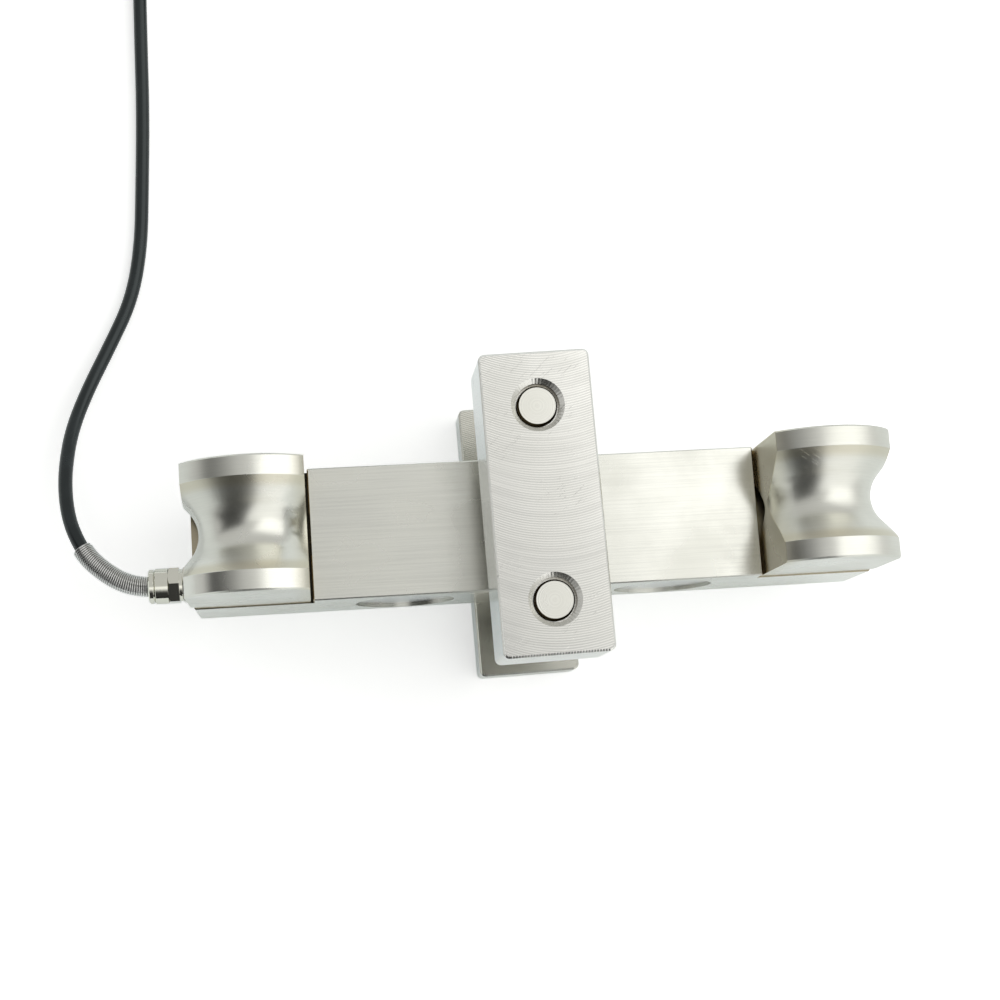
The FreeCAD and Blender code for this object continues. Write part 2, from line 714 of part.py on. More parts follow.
# Cord solids: straight runs joined by tangent arcs, as large as the runs allow.
def cord_path(points, name):
    """Wire through the points, and the length of its middle line."""
    edges = []
    start = points[0]
    radii = []
    for before, corner, after in zip(points, points[1:], points[2:]):
        back = before - corner
        ahead = after - corner
        half_turn = (math.pi - back.getAngle(ahead)) / 2
        cut = ARC_SHARE * min(back.Length, ahead.Length)
        back.normalize()
        ahead.normalize()
        radius = cut / math.tan(half_turn)
        radii.append(round(radius, 1))
        entry = corner + back * cut
        leave = corner + ahead * cut
        inward = (back + ahead).normalize()
        middle = corner + inward * (radius / math.cos(half_turn) - radius)
        edges.append(Part.LineSegment(start, entry).toShape())
        edges.append(Part.Arc(entry, middle, leave).toShape())
        start = leave
    edges.append(Part.LineSegment(start, points[-1]).toShape())
    path = Part.Wire(edges)
    print(name, "length", round(path.Length, 1), "radii", radii)
    return path


def tube_along(path, diameter):
    start = path.Edges[0].Vertexes[0].Point
    heading = path.Edges[0].tangentAt(path.Edges[0].FirstParameter)
    section = Part.Wire([Part.makeCircle(diameter / 2, start, heading)])
    tube = path.makePipeShell([section], True, True)
    wanted = math.pi * diameter ** 2 / 4 * path.Length
    if abs(tube.Volume - wanted) > 0.01 * wanted:
        raise RuntimeError("the tube's volume is not its section times its length")
    return tube


def feature(label, shape):
    piece = doc.addObject("Part::Feature", label)
    piece.Label = label
    piece.Shape = shape
    piece.Placement = FreeCAD.Placement()
    return piece


def make_cable():
    cable = number("Sizes.cable")
    loose = feature("cable", tube_along(cord_path(ROUTE, "cable"), cable))
    tail = feature("cable_tail", tube_along(cord_path(TAIL, "cable_tail"), cable))

    entry = gland_body("cable_entry")
    sheath = sketch(entry, "XY_Plane", "sheath_section", lift="-Sizes.gland_stub")
    circle(sheath, "0", "0", "Sizes.cable")
    pad(entry, sheath, "Sizes.gland_stub + Sizes.nut_end")

    inner = cable + 2 * number("Sizes.spring_play")
    outer = inner + 2 * number("Sizes.spring_wire")
    seat = number(f"-{BEAM_END} - Sizes.nut_shoulder")
    inside = V(seat, ROUTE[0].y, ROUTE[0].z)
    corners = ROUTE[:GUARD_CORNER + 2]
    free_end = (corners[-2] + corners[-1]) * 0.5
    spine = guard_spine(cord_path(corners, "bend_guard"), inside, free_end)
    sleeve = tube_along(spine, outer).cut(tube_along(spine, inner))
    return [loose, tail, entry, feature("spring_guard", sleeve)]


def guard_spine(path, inside, free_end):
    """Middle line of the bend guard, from the nut's shoulder to the guard's free end."""
    edges = path.Edges
    first = Part.LineSegment(inside, edges[0].Vertexes[-1].Point).toShape()
    last = Part.LineSegment(edges[-1].Vertexes[0].Point, free_end).toShape()
    return Part.Wire([first] + edges[1:-1] + [last])


# Rest of the cable, wound into a flat coil of two layers that lies on its ties.
COIL_X = f"({ROUTE[-1].x} + Sizes.coil_mean + Sizes.coil_wide / 2 - Sizes.cable / 2)"
COIL_Y = "(Sizes.coil_front + Sizes.coil_mean + Sizes.coil_wide / 2)"
COIL_Z = "(Sizes.tie_thick + Sizes.coil_play)"
COIL_HIGH = "(Sizes.coil_layers * Sizes.cable)"


def make_coil():
    coil = new_body("cable_coil", COIL_X, COIL_Y, COIL_Z)
    section = sketch(coil, "XZ_Plane", "coil_section")
    inside = "Sizes.coil_mean - Sizes.coil_wide / 2 - Sizes.coil_play"
    outside = "Sizes.coil_mean + Sizes.coil_wide / 2 + Sizes.coil_play"
    low = "-Sizes.coil_play / 2"
    high = f"{COIL_HIGH} + Sizes.coil_play"
    rectangle(section, inside, outside, low, high)
    revolve(coil, section)
    dress(coil, "Chamfer", "Sizes.coil_corner",
          lambda edge: edge.Curve.TypeId == "Part::GeomCircle")
    turn = "(Sizes.coil_mean + Sizes.coil_wide / 2 - Sizes.cable / 2)"
    arriving = sketch(coil, "XZ_Plane", "coil_arriving")
    circle(arriving, f"-{turn}", "Sizes.cable / 2", "Sizes.cable")
    pad(coil, arriving, "Sizes.coil_stub")
    leaving = sketch(coil, "YZ_Plane", "coil_leaving")
    circle(leaving, turn, f"{COIL_HIGH} - Sizes.cable / 2", "Sizes.cable")
    pad(coil, leaving, "Sizes.coil_stub")
    return coil


def make_tie(word, half_turn):
    turn = FreeCAD.Rotation(Z_AXIS, number("Sizes.tie_angle") + half_turn)
    tie = new_body(f"cable_tie_{word}", COIL_X, COIL_Y, "0", turn)
    strap = sketch(tie, "XZ_Plane", f"tie_strap_{word}")
    inside = "Sizes.coil_mean - Sizes.coil_wide / 2 - Sizes.coil_play - Sizes.tie_play"
    outside = "Sizes.coil_mean + Sizes.coil_wide / 2 + Sizes.coil_play + Sizes.tie_play"
    top = f"Sizes.tie_thick + {COIL_HIGH} + 3 * Sizes.coil_play"
    rectangle(strap, f"{inside} - Sizes.tie_thick", f"{outside} + Sizes.tie_thick",
              "0", f"{top} + Sizes.tie_thick")
    rectangle(strap, inside, outside, "Sizes.tie_thick", top)
    pad(tie, strap, "Sizes.tie_wide", both_ways=True)
    lock = sketch(tie, "XZ_Plane", f"tie_lock_{word}")
    rectangle(lock, f"{outside} - Sizes.tie_head", outside, f"{top} + Sizes.tie_thick / 2",
              f"{top} + Sizes.tie_head_high")
    pad(tie, lock, "Sizes.tie_head", both_ways=True)
    return tie


def make_coil_pieces():
    ties = [make_tie("near", 180), make_tie("far", 0)]
    return [make_coil(), group("cable_ties", ties), make_free_cores()]


# Stripped cores at the free end of the cable.
def make_free_cores():
    heading = (TAIL[-1] - TAIL[-2]).normalize()
    across = heading.cross(Z_AXIS).normalize()
    above = across.cross(heading)
    core = number("Sizes.core")
    apart = (core + number("Sizes.core_gap")) / 2
    cores = []
    for side in SIDES:
        for level in SIDES:
            start = TAIL[-1] + across * (side * apart) + above * (level * apart)
            cores.append(Part.makeCylinder(core / 2, number("Sizes.core_long"), start, heading))
    return feature("cable_leads", Part.Compound(cores))


# Strain gauges: foils bonded on the middle of the web in each well.
def make_gauges():
    gauges = []
    for y_sign in SIDES:
        for x_sign in SIDES:
            foil = doc.addObject("Part::Box", "gauge_foil")
            foil.setExpression("Length", "Sizes.gauge_long")
            foil.setExpression("Width", "Sizes.gauge_thick")
            foil.setExpression("Height", "Sizes.gauge_wide")
            near = f"{WEB} + Sizes.bond"
            y = near if y_sign > 0 else f"-({near}) - Sizes.gauge_thick"
            place(foil, f"{x_sign} * {WELL_X} - Sizes.gauge_long / 2", y,
                  f"{WELL_Z} - Sizes.gauge_wide / 2")
            gauges.append(foil)
    return [group("strain_gauges", gauges)]


# Terminal board: stands on two posts in the left front well, just behind the leads.
def make_board():
    face = f"({WEB} + Sizes.entry_off_web - {BUNDLE} / 2 - Sizes.cover_play)"
    board = new_body("terminal_board", f"-{WELL_X}", f"-{WEB}", WELL_Z)
    posts = sketch(board, "XZ_Plane", "board_posts")
    for x_sign in SIDES:
        circle(posts, f"{x_sign} * Sizes.post_offset", "0", "Sizes.post")
    pad(board, posts, f"{face} - {WEB}")
    plate = sketch(board, "XZ_Plane", "board_plate", lift=f"{face} - {WEB} - Sizes.board_thick")
    rectangle(plate, "-Sizes.board_long / 2", "Sizes.board_long / 2",
              "-Sizes.board_wide / 2", "Sizes.board_wide / 2")
    pad(board, plate, "Sizes.board_thick")
    return [board]


# Leads inside the beam: along the lead bore, and through the web to the back wells.
def make_leads():
    leads = []
    well_wall = f"({WELL_X} - Sizes.well_bore / 2)"
    stretches = (
        (f"-{BEAM_END} + Sizes.gland_stub", f"-{WELL_X} - Sizes.board_long / 4"),
        (f"-{WELL_X} + Sizes.board_long / 4", f"{well_wall} + Sizes.lead_slack"),
    )
    for start, end in stretches:
        lead = doc.addObject("Part::Cylinder", "bore_lead")
        lead.setExpression("Radius", f"{BUNDLE} / 2")
        lead.setExpression("Height", f"({end}) - ({start})")
        lead.Placement = FreeCAD.Placement(V(), FreeCAD.Rotation(Y_AXIS, 90))
        place(lead, start, ENTRY_Y, ENTRY_Z)
        leads.append(lead)
    for x_sign in SIDES:
        lead = doc.addObject("Part::Cylinder", "web_lead")
        lead.setExpression("Radius", "Sizes.cross_lead / 2")
        lead.setExpression("Height", f"2 * ({WEB} + Sizes.lead_stand)")
        lead.Placement = FreeCAD.Placement(V(), FreeCAD.Rotation(V(1, 0, 0), -90))
        place(lead, f"{x_sign} * {WELL_X} + Sizes.cross_offset", f"-{WEB} - Sizes.lead_stand",
              WELL_Z)
        leads.append(lead)
    return [group("internal_leads", leads)]


pieces = make_beam()
pieces += make_covers()
pieces += [make_saddle("saddle_left", -1), make_saddle("saddle_right", 1)]
pieces += make_saddle_screws()
pieces += make_dowels()
pieces += make_rear_bar()
pieces += make_front_bar()
pieces += make_clamp_screws()
pieces += make_gland()
pieces += make_cable()
pieces += make_coil_pieces()
pieces += make_gauges()
pieces += make_board()
pieces += make_leads()
doc.recompute()

for item in doc.Objects:
    if "Invalid" in item.State or "Error" in item.State:
        raise RuntimeError(f"{item.Label} failed: {item.State}")
for piece in pieces:
    if piece.Shape.isNull() or not piece.Shape.isValid() or piece.Shape.Volume <= 0:
        raise RuntimeError(f"{piece.Label} has no valid solid")

os.makedirs("parts", exist_ok=True)
for piece in pieces:
    piece.Shape.exportStep(f"parts/{piece.Label}.step")
    print(piece.Label, len(piece.Shape.Solids), round(piece.Shape.Volume, 1))
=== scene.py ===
import math

import bmesh
import bpy
from mathutils import Matrix, Vector


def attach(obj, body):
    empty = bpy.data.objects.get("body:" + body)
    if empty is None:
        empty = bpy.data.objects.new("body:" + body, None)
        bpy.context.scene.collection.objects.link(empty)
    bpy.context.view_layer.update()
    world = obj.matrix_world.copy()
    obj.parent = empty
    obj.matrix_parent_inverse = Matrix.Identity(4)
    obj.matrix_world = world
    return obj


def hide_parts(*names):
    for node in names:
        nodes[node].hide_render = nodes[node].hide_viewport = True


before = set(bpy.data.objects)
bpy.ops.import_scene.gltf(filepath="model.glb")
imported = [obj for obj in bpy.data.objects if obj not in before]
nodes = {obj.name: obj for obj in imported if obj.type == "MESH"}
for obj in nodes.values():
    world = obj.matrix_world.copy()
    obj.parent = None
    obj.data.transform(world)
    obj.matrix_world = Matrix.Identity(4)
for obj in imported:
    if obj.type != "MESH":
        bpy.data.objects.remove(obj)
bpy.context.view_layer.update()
scene = bpy.context.scene
scene.view_settings.view_transform = "Standard"


# ---------------------------------------------------------------------------
# Studio: a white board table in a soft pale room. A wide white wall stands on the right,
# and a dark opening is left at the front and on the left, so that the plated steel has
# something to mirror.
# ---------------------------------------------------------------------------
TABLE_HALF = 6.0
BOARD_WHITE = (0.86, 0.87, 0.87, 1)
BOARD_SEEN = (0.5, 0.5, 0.5, 1)
BOARD_MIRRORED = (0.19, 0.215, 0.215, 1)
ROOM_WHITE = (1.0, 1.0, 0.98, 1)
WALL_GREY = 0.66
WALL_RISE = 0.58
KEY_BOX_PLACE = (0.85, 0.30, 1.05)
KEY_BOX_AIM = (0.03, 0, 0.05)
KEY_BOX_SIZE = (1.2, 1.5)
KEY_BOX_WATTS = 2.2
KEY_BOX_TINT = (1.0, 0.99, 0.96)


def collection_add(thing):
    scene.collection.objects.link(thing)
    return thing


def mesh_object(name, mesh):
    return collection_add(bpy.data.objects.new(name, mesh))


def put(tree, socket, value):
    """Join a socket to another node's output, or set it to a plain value."""
    if isinstance(value, bpy.types.NodeSocket):
        tree.links.new(value, socket)
    else:
        socket.default_value = value


def calculate(tree, operation, first, second=0.0):
    node = tree.nodes.new("ShaderNodeMath")
    node.operation = operation
    put(tree, node.inputs[0], first)
    put(tree, node.inputs[1], second)
    return node.outputs[0]


def product(tree, first, *others):
    for other in others:
        first = calculate(tree, "MULTIPLY", first, other)
    return first


def weighted(tree, first, second, weight):
    """The first value plus a share of the second."""
    return calculate(tree, "ADD", first, product(tree, second, weight))


def fade(tree, value, start, stop, low=0.0, high=1.0):
    """Smooth change from low to high while the value goes from start to stop."""
    node = tree.nodes.new("ShaderNodeMapRange")
    node.interpolation_type = "SMOOTHSTEP"
    put(tree, node.inputs["Value"], value)
    node.inputs["From Min"].default_value = start
    node.inputs["From Max"].default_value = stop
    node.inputs["To Min"].default_value = low
    node.inputs["To Max"].default_value = high
    return node.outputs["Result"]


def split(tree, vector):
    node = tree.nodes.new("ShaderNodeSeparateXYZ")
    put(tree, node.inputs[0], vector)
    return node.outputs


def mix_colours(tree, amount, first, second):
    node = tree.nodes.new("ShaderNodeMix")
    node.data_type = "RGBA"
    put(tree, node.inputs[0], amount)
    put(tree, node.inputs[6], first)
    put(tree, node.inputs[7], second)
    return node.outputs[2]


def new_material(name):
    made = bpy.data.materials.new(name)
    made.use_nodes = True
    tree = made.node_tree
    return made, tree, tree.nodes["Principled BSDF"]


def table_top():
    """Board that the camera sees as plain white, and the steel mirrors as a cool grey."""
    mesh = bpy.data.meshes.new("table_top")
    corners = [(x * TABLE_HALF, y * TABLE_HALF, 0) for x, y in ((-1, -1), (1, -1), (1, 1), (-1, 1))]
    mesh.from_pydata(corners, [], [(0, 1, 2, 3)])
    top = mesh_object("table_top", mesh)
    board, tree, shader = new_material("white_board")
    shader.inputs["Base Color"].default_value = BOARD_WHITE
    shader.inputs["Roughness"].default_value = 0.9
    shader.inputs["Specular IOR Level"].default_value = 0.0
    path = tree.nodes.new("ShaderNodeLightPath")
    seen = calculate(tree, "MAXIMUM", path.outputs["Is Camera Ray"], path.outputs["Is Glossy Ray"])
    seen = calculate(tree, "MAXIMUM", seen, path.outputs["Is Transmission Ray"])
    put(tree, shader.inputs["Emission Color"], mix_colours(
        tree, path.outputs["Is Camera Ray"], BOARD_MIRRORED, BOARD_SEEN))
    put(tree, shader.inputs["Emission Strength"], seen)
    mesh.materials.append(board)


def room_light(tree):
    """Brightness of the room by direction: across is to the right, along is to the back."""
    where = tree.nodes.new("ShaderNodeTexCoord")
    across, along, _ = split(tree, where.outputs["Generated"])
    # The white wall runs from the right round to the front, and dims at its far right.
    right_part = fade(tree, weighted(tree, across, along, 0.4), -0.40, -0.20)
    side = product(tree, fade(tree, along, 0.35, 0.60, 1, 0),
                   fade(tree, weighted(tree, across, along, 0.5), 0.16, 0.27))
    near = product(tree, right_part, fade(tree, along, -0.25, -0.05, 1, 0))
    wall = weighted(tree, WALL_GREY, calculate(tree, "MAXIMUM", side, near), WALL_RISE)
    wall = product(tree, wall, fade(tree, across, 0.82, 0.97, 1, 0.55))
    # The dark opening: a wide gap left of the white wall, and a small patch straight in front.
    inside = product(tree, fade(tree, across, -0.97, -0.85),
                     fade(tree, weighted(tree, across, along, 0.77), -1.30, -1.16))
    frontwards = fade(tree, weighted(tree, along, across, 0.5), -0.26, 0.04, 0.94, 0)
    gap = product(tree, inside, frontwards, calculate(tree, "SUBTRACT", 1.0, right_part))
    patch = fade(tree, along, -0.974, -0.954, 0.96, 0)
    shade = calculate(tree, "MAXIMUM", gap, patch)
    return product(tree, wall, calculate(tree, "SUBTRACT", 1.0, shade))


def room():
    """The camera sees a white background; everything else is lit by the room."""
    world = bpy.data.worlds.new("studio")
    world.use_nodes = True
    scene.world = world
    tree = world.node_tree
    walls = tree.nodes["Background"]
    walls.inputs["Color"].default_value = ROOM_WHITE
    put(tree, walls.inputs["Strength"], room_light(tree))
    white = tree.nodes.new("ShaderNodeBackground")
    white.inputs["Color"].default_value = (1, 1, 1, 1)
    white.inputs["Strength"].default_value = 1.0
    path = tree.nodes.new("ShaderNodeLightPath")
    pick = tree.nodes.new("ShaderNodeMixShader")
    tree.links.new(path.outputs["Is Camera Ray"], pick.inputs["Fac"])
    tree.links.new(walls.outputs[0], pick.inputs[1])
    tree.links.new(white.outputs[0], pick.inputs[2])
    tree.links.new(pick.outputs[0], tree.nodes["World Output"].inputs["Surface"])


def key_box():
    data = bpy.data.lights.new("key_box", "AREA")
    data.shape = "RECTANGLE"
    data.size, data.size_y = KEY_BOX_SIZE
    data.energy = KEY_BOX_WATTS
    data.color = KEY_BOX_TINT
    lamp = collection_add(bpy.data.objects.new("key_box", data))
    lamp.location = KEY_BOX_PLACE
    heading = Vector(KEY_BOX_AIM) - Vector(KEY_BOX_PLACE)
    lamp.rotation_euler = heading.to_track_quat("-Z", "Y").to_euler()


table_top()
room()
key_box()


# ---------------------------------------------------------------------------
# Camera: above the cell and a little to the cable's side, with a long lens.
# ---------------------------------------------------------------------------
CAMERA_PLACE = (-0.0929, -0.1048, 0.8111)
CAMERA_RIGHT = (0.9933, -0.0672, 0.0943)
CAMERA_BACK = (-0.1036, -0.1514, 0.9830)
SENSOR_MM = 36
LENS_MM = 66.6


def camera():
    data = bpy.data.cameras.new("camera")
    data.sensor_width = SENSOR_MM
    data.lens = LENS_MM
    data.clip_start = 0.01
    view = collection_add(bpy.data.objects.new("camera", data))
    right = Vector(CAMERA_RIGHT).normalized()
    back = Vector(CAMERA_BACK)
    back = (back - right * back.dot(right)).normalized()
    up = back.cross(right)
    turn = Matrix((right, up, back)).transposed().to_4x4()
    view.matrix_world = Matrix.Translation(CAMERA_PLACE) @ turn
    scene.camera = view


camera()


# ---------------------------------------------------------------------------
# Signal cable: one round cable in a smooth black jacket. It leaves the gland, sinks
# to the table, and its spare length is wound in a flat coil of two layers.
# ---------------------------------------------------------------------------
CABLE = 0.006
ROUTE = [
    (-0.1598, -0.0145, 0.0380),
    (-0.1645, -0.0141, 0.0380),
    (-0.1718, -0.0114, 0.0378),
    (-0.1788, -0.0063, 0.0371),
    (-0.1848, -0.0003, 0.0360),
    (-0.1889, 0.0072, 0.0343),
    (-0.1922, 0.0160, 0.0314),
    (-0.1941, 0.0275, 0.0271),
    (-0.1944, 0.0405, 0.0213),
    (-0.1922, 0.0575, 0.0148),
    (-0.1859, 0.0755, 0.0093),
    (-0.1763, 0.0955, 0.0053),
    (-0.1656, 0.1175, 0.0036),
    (-0.1606, 0.1420, 0.0031),
    (-0.1590, 0.1710, 0.0030),
    (-0.1574, 0.2050, 0.0031),
    (-0.1570, 0.2390, 0.0036),
    (-0.1565, 0.2690, 0.0043),
    (-0.1565, 0.2920, 0.0043),
]
TAIL = [
    (-0.0765, 0.3720, 0.0103),
    (-0.0660, 0.3720, 0.0103),
    (-0.0545, 0.3730, 0.0084),
    (-0.0430, 0.3754, 0.0050),
    (-0.0315, 0.3788, 0.0031),
    (-0.0205, 0.3822, 0.0031),
]
COIL_TURNS = 11.25
TURNS_INWARDS = 5
POINTS_PER_TURN = 16
COIL_OUT = 0.052
COIL_LOW = 0.0043
CLIMB_INWARDS = 0.0029
COIL_MIDDLE = Vector((ROUTE[-1][0] + COIL_OUT, 0.320, 0))
JACKET_BLACK = (0.004, 0.006, 0.007, 1)
JACKET_DUSTY = (0.010, 0.013, 0.015, 1)
JACKET_GLOSS = (0.90, 1.0, 1.0, 1)
JACKET_PORES = (1500, 1500, 1500)


def coil_points():
    """Turns wound inwards on the table, one that climbs, and turns outwards on top of them."""
    # A spline of this order cuts the corners between its points, so they stand further out.
    cut = (6 + 2 * math.cos(2 * math.pi / POINTS_PER_TURN)) / 8
    points = []
    for step in range(int(COIL_TURNS * POINTS_PER_TURN) + 1):
        turn = step / POINTS_PER_TURN
        inwards = min(turn, TURNS_INWARDS)
        climb = min(max(turn - TURNS_INWARDS, 0), 1)
        outwards = min(max(turn - TURNS_INWARDS - 1, 0), TURNS_INWARDS)
        radius = COIL_OUT - CABLE * inwards + CABLE * outwards
        radius -= CLIMB_INWARDS * math.sin(math.pi * climb) ** 0.5 if 0 < climb < 1 else 0
        height = COIL_LOW + CABLE * climb
        angle = math.pi - 2 * math.pi * turn
        out = Vector((math.cos(angle), math.sin(angle), 0)) * radius / cut
        points.append(COIL_MIDDLE + out + Vector((0, 0, height)))
    return points


def cable_curve(name, thickness):
    data = bpy.data.curves.new(name, "CURVE")
    data.dimensions = "3D"
    data.bevel_depth = thickness / 2
    data.bevel_resolution = 5
    data.resolution_u = 6
    data.use_fill_caps = True
    points = [Vector(place) for place in ROUTE] + coil_points() + [Vector(place) for place in TAIL]
    line = data.splines.new("NURBS")
    line.points.add(len(points) - 1)
    for point, place in zip(line.points, points):
        point.co = (*place, 1)
    line.order_u = 3
    line.use_endpoint_u = True
    return collection_add(bpy.data.objects.new(name, data))


def surface_place(tree):
    return tree.nodes.new("ShaderNodeTexCoord").outputs["Object"]


def grain(tree, place, marks, detail=2.0):
    """Noise with its own number of marks per metre along each axis."""
    scaled = tree.nodes.new("ShaderNodeMapping")
    scaled.inputs["Scale"].default_value = marks
    put(tree, scaled.inputs["Vector"], place)
    noise = tree.nodes.new("ShaderNodeTexNoise")
    noise.inputs["Scale"].default_value = 1.0
    noise.inputs["Detail"].default_value = detail
    tree.links.new(scaled.outputs[0], noise.inputs["Vector"])
    return noise.outputs[0]


def emboss(tree, shader, height, depth):
    """Small relief on the surface; depth is in metres."""
    node = tree.nodes.new("ShaderNodeBump")
    node.inputs["Distance"].default_value = depth
    put(tree, node.inputs["Height"], height)
    tree.links.new(node.outputs[0], shader.inputs["Normal"])


def jacket_material():
    made, tree, shader = new_material("cable_jacket")
    place = surface_place(tree)
    dust = fade(tree, grain(tree, place, (90, 90, 90), 4), 0.35, 0.75)
    put(tree, shader.inputs["Base Color"], mix_colours(tree, dust, JACKET_BLACK, JACKET_DUSTY))
    put(tree, shader.inputs["Roughness"], fade(tree, dust, 0, 1, 0.20, 0.30))
    shader.inputs["Specular Tint"].default_value = JACKET_GLOSS
    emboss(tree, shader, grain(tree, place, JACKET_PORES), 0.00003)
    return made


jacket = jacket_material()
cable = cable_curve("signal_cable", CABLE)
cable.data.materials.append(jacket)
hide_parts("cable", "cable_coil", "cable_tail")
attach(cable, "root")


# ---------------------------------------------------------------------------
# Measuring beam: a milled steel block, nickel plated. The belt grinder has left a fine
# grain along it, and the plating is a little cloudy. The land's end edges carry a painted
# highlight, the ledges under the saddles are dull, and the left seam has painted shade.
# ---------------------------------------------------------------------------
LAND_END = 0.0925
SEAM_END = 0.0936
RAISED_FROM = 0.0560
HIGHLIGHT_BAND = 0.0006
SHARP = 0.0002
PLATING_CLOUDS = (28, 28, 28)
BELT_MARKS = (22, 2400, 2400)
BELT_DEPTH = 0.000008
BEAM_PALE = (0.765, 0.765, 0.715)
BEAM_DULL = (0.70, 0.70, 0.645)
EDGE_HIGHLIGHT_OCHRE = (0.42, 0.33, 0.19)
DULL_LEDGE = (0.36, 0.35, 0.29)
SEAM_SHADE = (0.02, 0.018, 0.013)


def plated_steel(name, pale, dull, smooth, rough):
    """Nickel on steel: cloudy in tone and in polish. Returns also its tree and shader."""
    made, tree, shader = new_material(name)
    shader.inputs["Metallic"].default_value = 1.0
    cloud = fade(tree, grain(tree, surface_place(tree), PLATING_CLOUDS, 5), 0.3, 0.7)
    put(tree, shader.inputs["Base Color"], mix_colours(tree, cloud, (*pale, 1), (*dull, 1)))
    put(tree, shader.inputs["Roughness"], fade(tree, cloud, 0, 1, smooth, rough))
    return made, tree, shader


def darken(tree, shader, marks, depth):
    """Deepen the base colour where the marks are strong."""
    socket = shader.inputs["Base Color"]
    plain = socket.links[0].from_socket
    node = tree.nodes.new("ShaderNodeHueSaturation")
    tree.links.new(plain, node.inputs["Color"])
    put(tree, node.inputs["Value"], fade(tree, marks, 0.40, 0.62, 1.0, 1.0 - depth))
    tree.links.new(node.outputs[0], socket)


def stain(tree, shader, amount, tone):
    """Colour the surface where the amount is one."""
    socket = shader.inputs["Base Color"]
    put(tree, socket, mix_colours(tree, amount, socket.links[0].from_socket, (*tone, 1)))


def beam_material():
    made, tree, shader = plated_steel("beam_nickel", BEAM_PALE, BEAM_DULL, 0.20, 0.30)
    place = surface_place(tree)
    lines = grain(tree, place, BELT_MARKS, 3)
    darken(tree, shader, lines, 0.05)
    x, _, z = split(tree, place)
    along = calculate(tree, "ABSOLUTE", x)
    raised = fade(tree, z, RAISED_FROM, RAISED_FROM + SHARP)
    # Painted highlight: an ochre band on the land's broken end edges stands in for their
    # reflection.
    highlight_from = LAND_END - HIGHLIGHT_BAND
    stain(tree, shader, product(tree, raised, fade(tree, along, highlight_from, highlight_from + SHARP)), EDGE_HIGHLIGHT_OCHRE)
    ledge = fade(tree, along, SEAM_END, SEAM_END + SHARP, 0, 0.6)
    stain(tree, shader, product(tree, raised, ledge), DULL_LEDGE)
    # Painted shade: the narrow gap at the left seam is coloured near black.
    left_seam_shade = product(tree, fade(tree, x, -SEAM_END - SHARP, -SEAM_END),
                        fade(tree, x, -LAND_END, -LAND_END + SHARP / 2, 1, 0))
    stain(tree, shader, product(tree, raised, left_seam_shade), SEAM_SHADE)
    emboss(tree, shader, lines, BELT_DEPTH)
    return made


def dress(name, material):
    """Give a CAD piece its finish."""
    piece = nodes[name]
    piece.data.materials.clear()
    piece.data.materials.append(material)


dress("beam_body", beam_material())


# ---------------------------------------------------------------------------
# Well covers: thin stainless discs, faced on a lathe and pressed into the seats
# over the gauge wells.
# ---------------------------------------------------------------------------
WELL_ASIDE = 0.0545
WELL_HEIGHT = 0.042
COVER_RINGS = 3500
COVER_RING_DEPTH = 0.000012
COVER_PALE = (0.74, 0.745, 0.74)
COVER_DULL = (0.66, 0.665, 0.66)


def distance(tree, first, second):
    """Distance from the axis where both lengths are nought."""
    square = calculate(tree, "ADD", product(tree, first, first), product(tree, second, second))
    return calculate(tree, "SQRT", square)


def ring_marks(tree, first, second, per_metre):
    """Turning marks round the axis where both lengths are nought."""
    line = tree.nodes.new("ShaderNodeTexNoise")
    line.noise_dimensions = "1D"
    line.inputs["Scale"].default_value = per_metre
    tree.links.new(distance(tree, first, second), line.inputs["W"])
    return line.outputs[0]


def cover_material():
    made, tree, shader = plated_steel("cover_stainless", COVER_PALE, COVER_DULL, 0.24, 0.34)
    x, _, z = split(tree, surface_place(tree))
    aside = calculate(tree, "SUBTRACT", calculate(tree, "ABSOLUTE", x), WELL_ASIDE)
    up = calculate(tree, "SUBTRACT", z, WELL_HEIGHT)
    emboss(tree, shader, ring_marks(tree, aside, up, COVER_RINGS), COVER_RING_DEPTH)
    return made


cover_steel = cover_material()
for side in ("front", "back"):
    for end in ("left", "right"):
        dress(f"well_cover_{side}_{end}", cover_steel)


# ---------------------------------------------------------------------------
# Rope saddles: turned on a lathe as whole grooved wheels, then milled flat and plated.
# The turning marks run round them, and rope has scratched and dulled the right one. The
# steep groove walls carry a painted reflection, the flats towards the land painted shade,
# and the groove's inner end a painted highlight.
# ---------------------------------------------------------------------------
GROOVE_EDGE = 0.0182
WALL_FROM = 0.0130
WALL_STEEP = 0.0165
HIGHLIGHT_REACH = 0.0080
TURNING_MARKS = (60, 2600, 60)
TURNING_DEPTH = 0.000007
SCRATCH_TURN = 0.6
SADDLE_PALE = (0.77, 0.77, 0.72)
SADDLE_DULL = (0.70, 0.70, 0.645)
REFLECTION_TINT = (0.58, 0.54, 0.41)
FLAT_SHADE = (0.52, 0.48, 0.35)


def rotated(tree, place, angle):
    node = tree.nodes.new("ShaderNodeMapping")
    node.inputs["Rotation"].default_value = (0, 0, angle)
    put(tree, node.inputs["Vector"], place)
    return node.outputs[0]


def scratches(tree, place, angle, rarity):
    """A few short strokes, all at about one angle."""
    streak = grain(tree, rotated(tree, place, angle), (120, 2600, 120), 1)
    patch = grain(tree, place, (70, 70, 70), 0)
    return product(tree, fade(tree, streak, rarity, rarity + 0.04), fade(tree, patch, 0.55, 0.62))


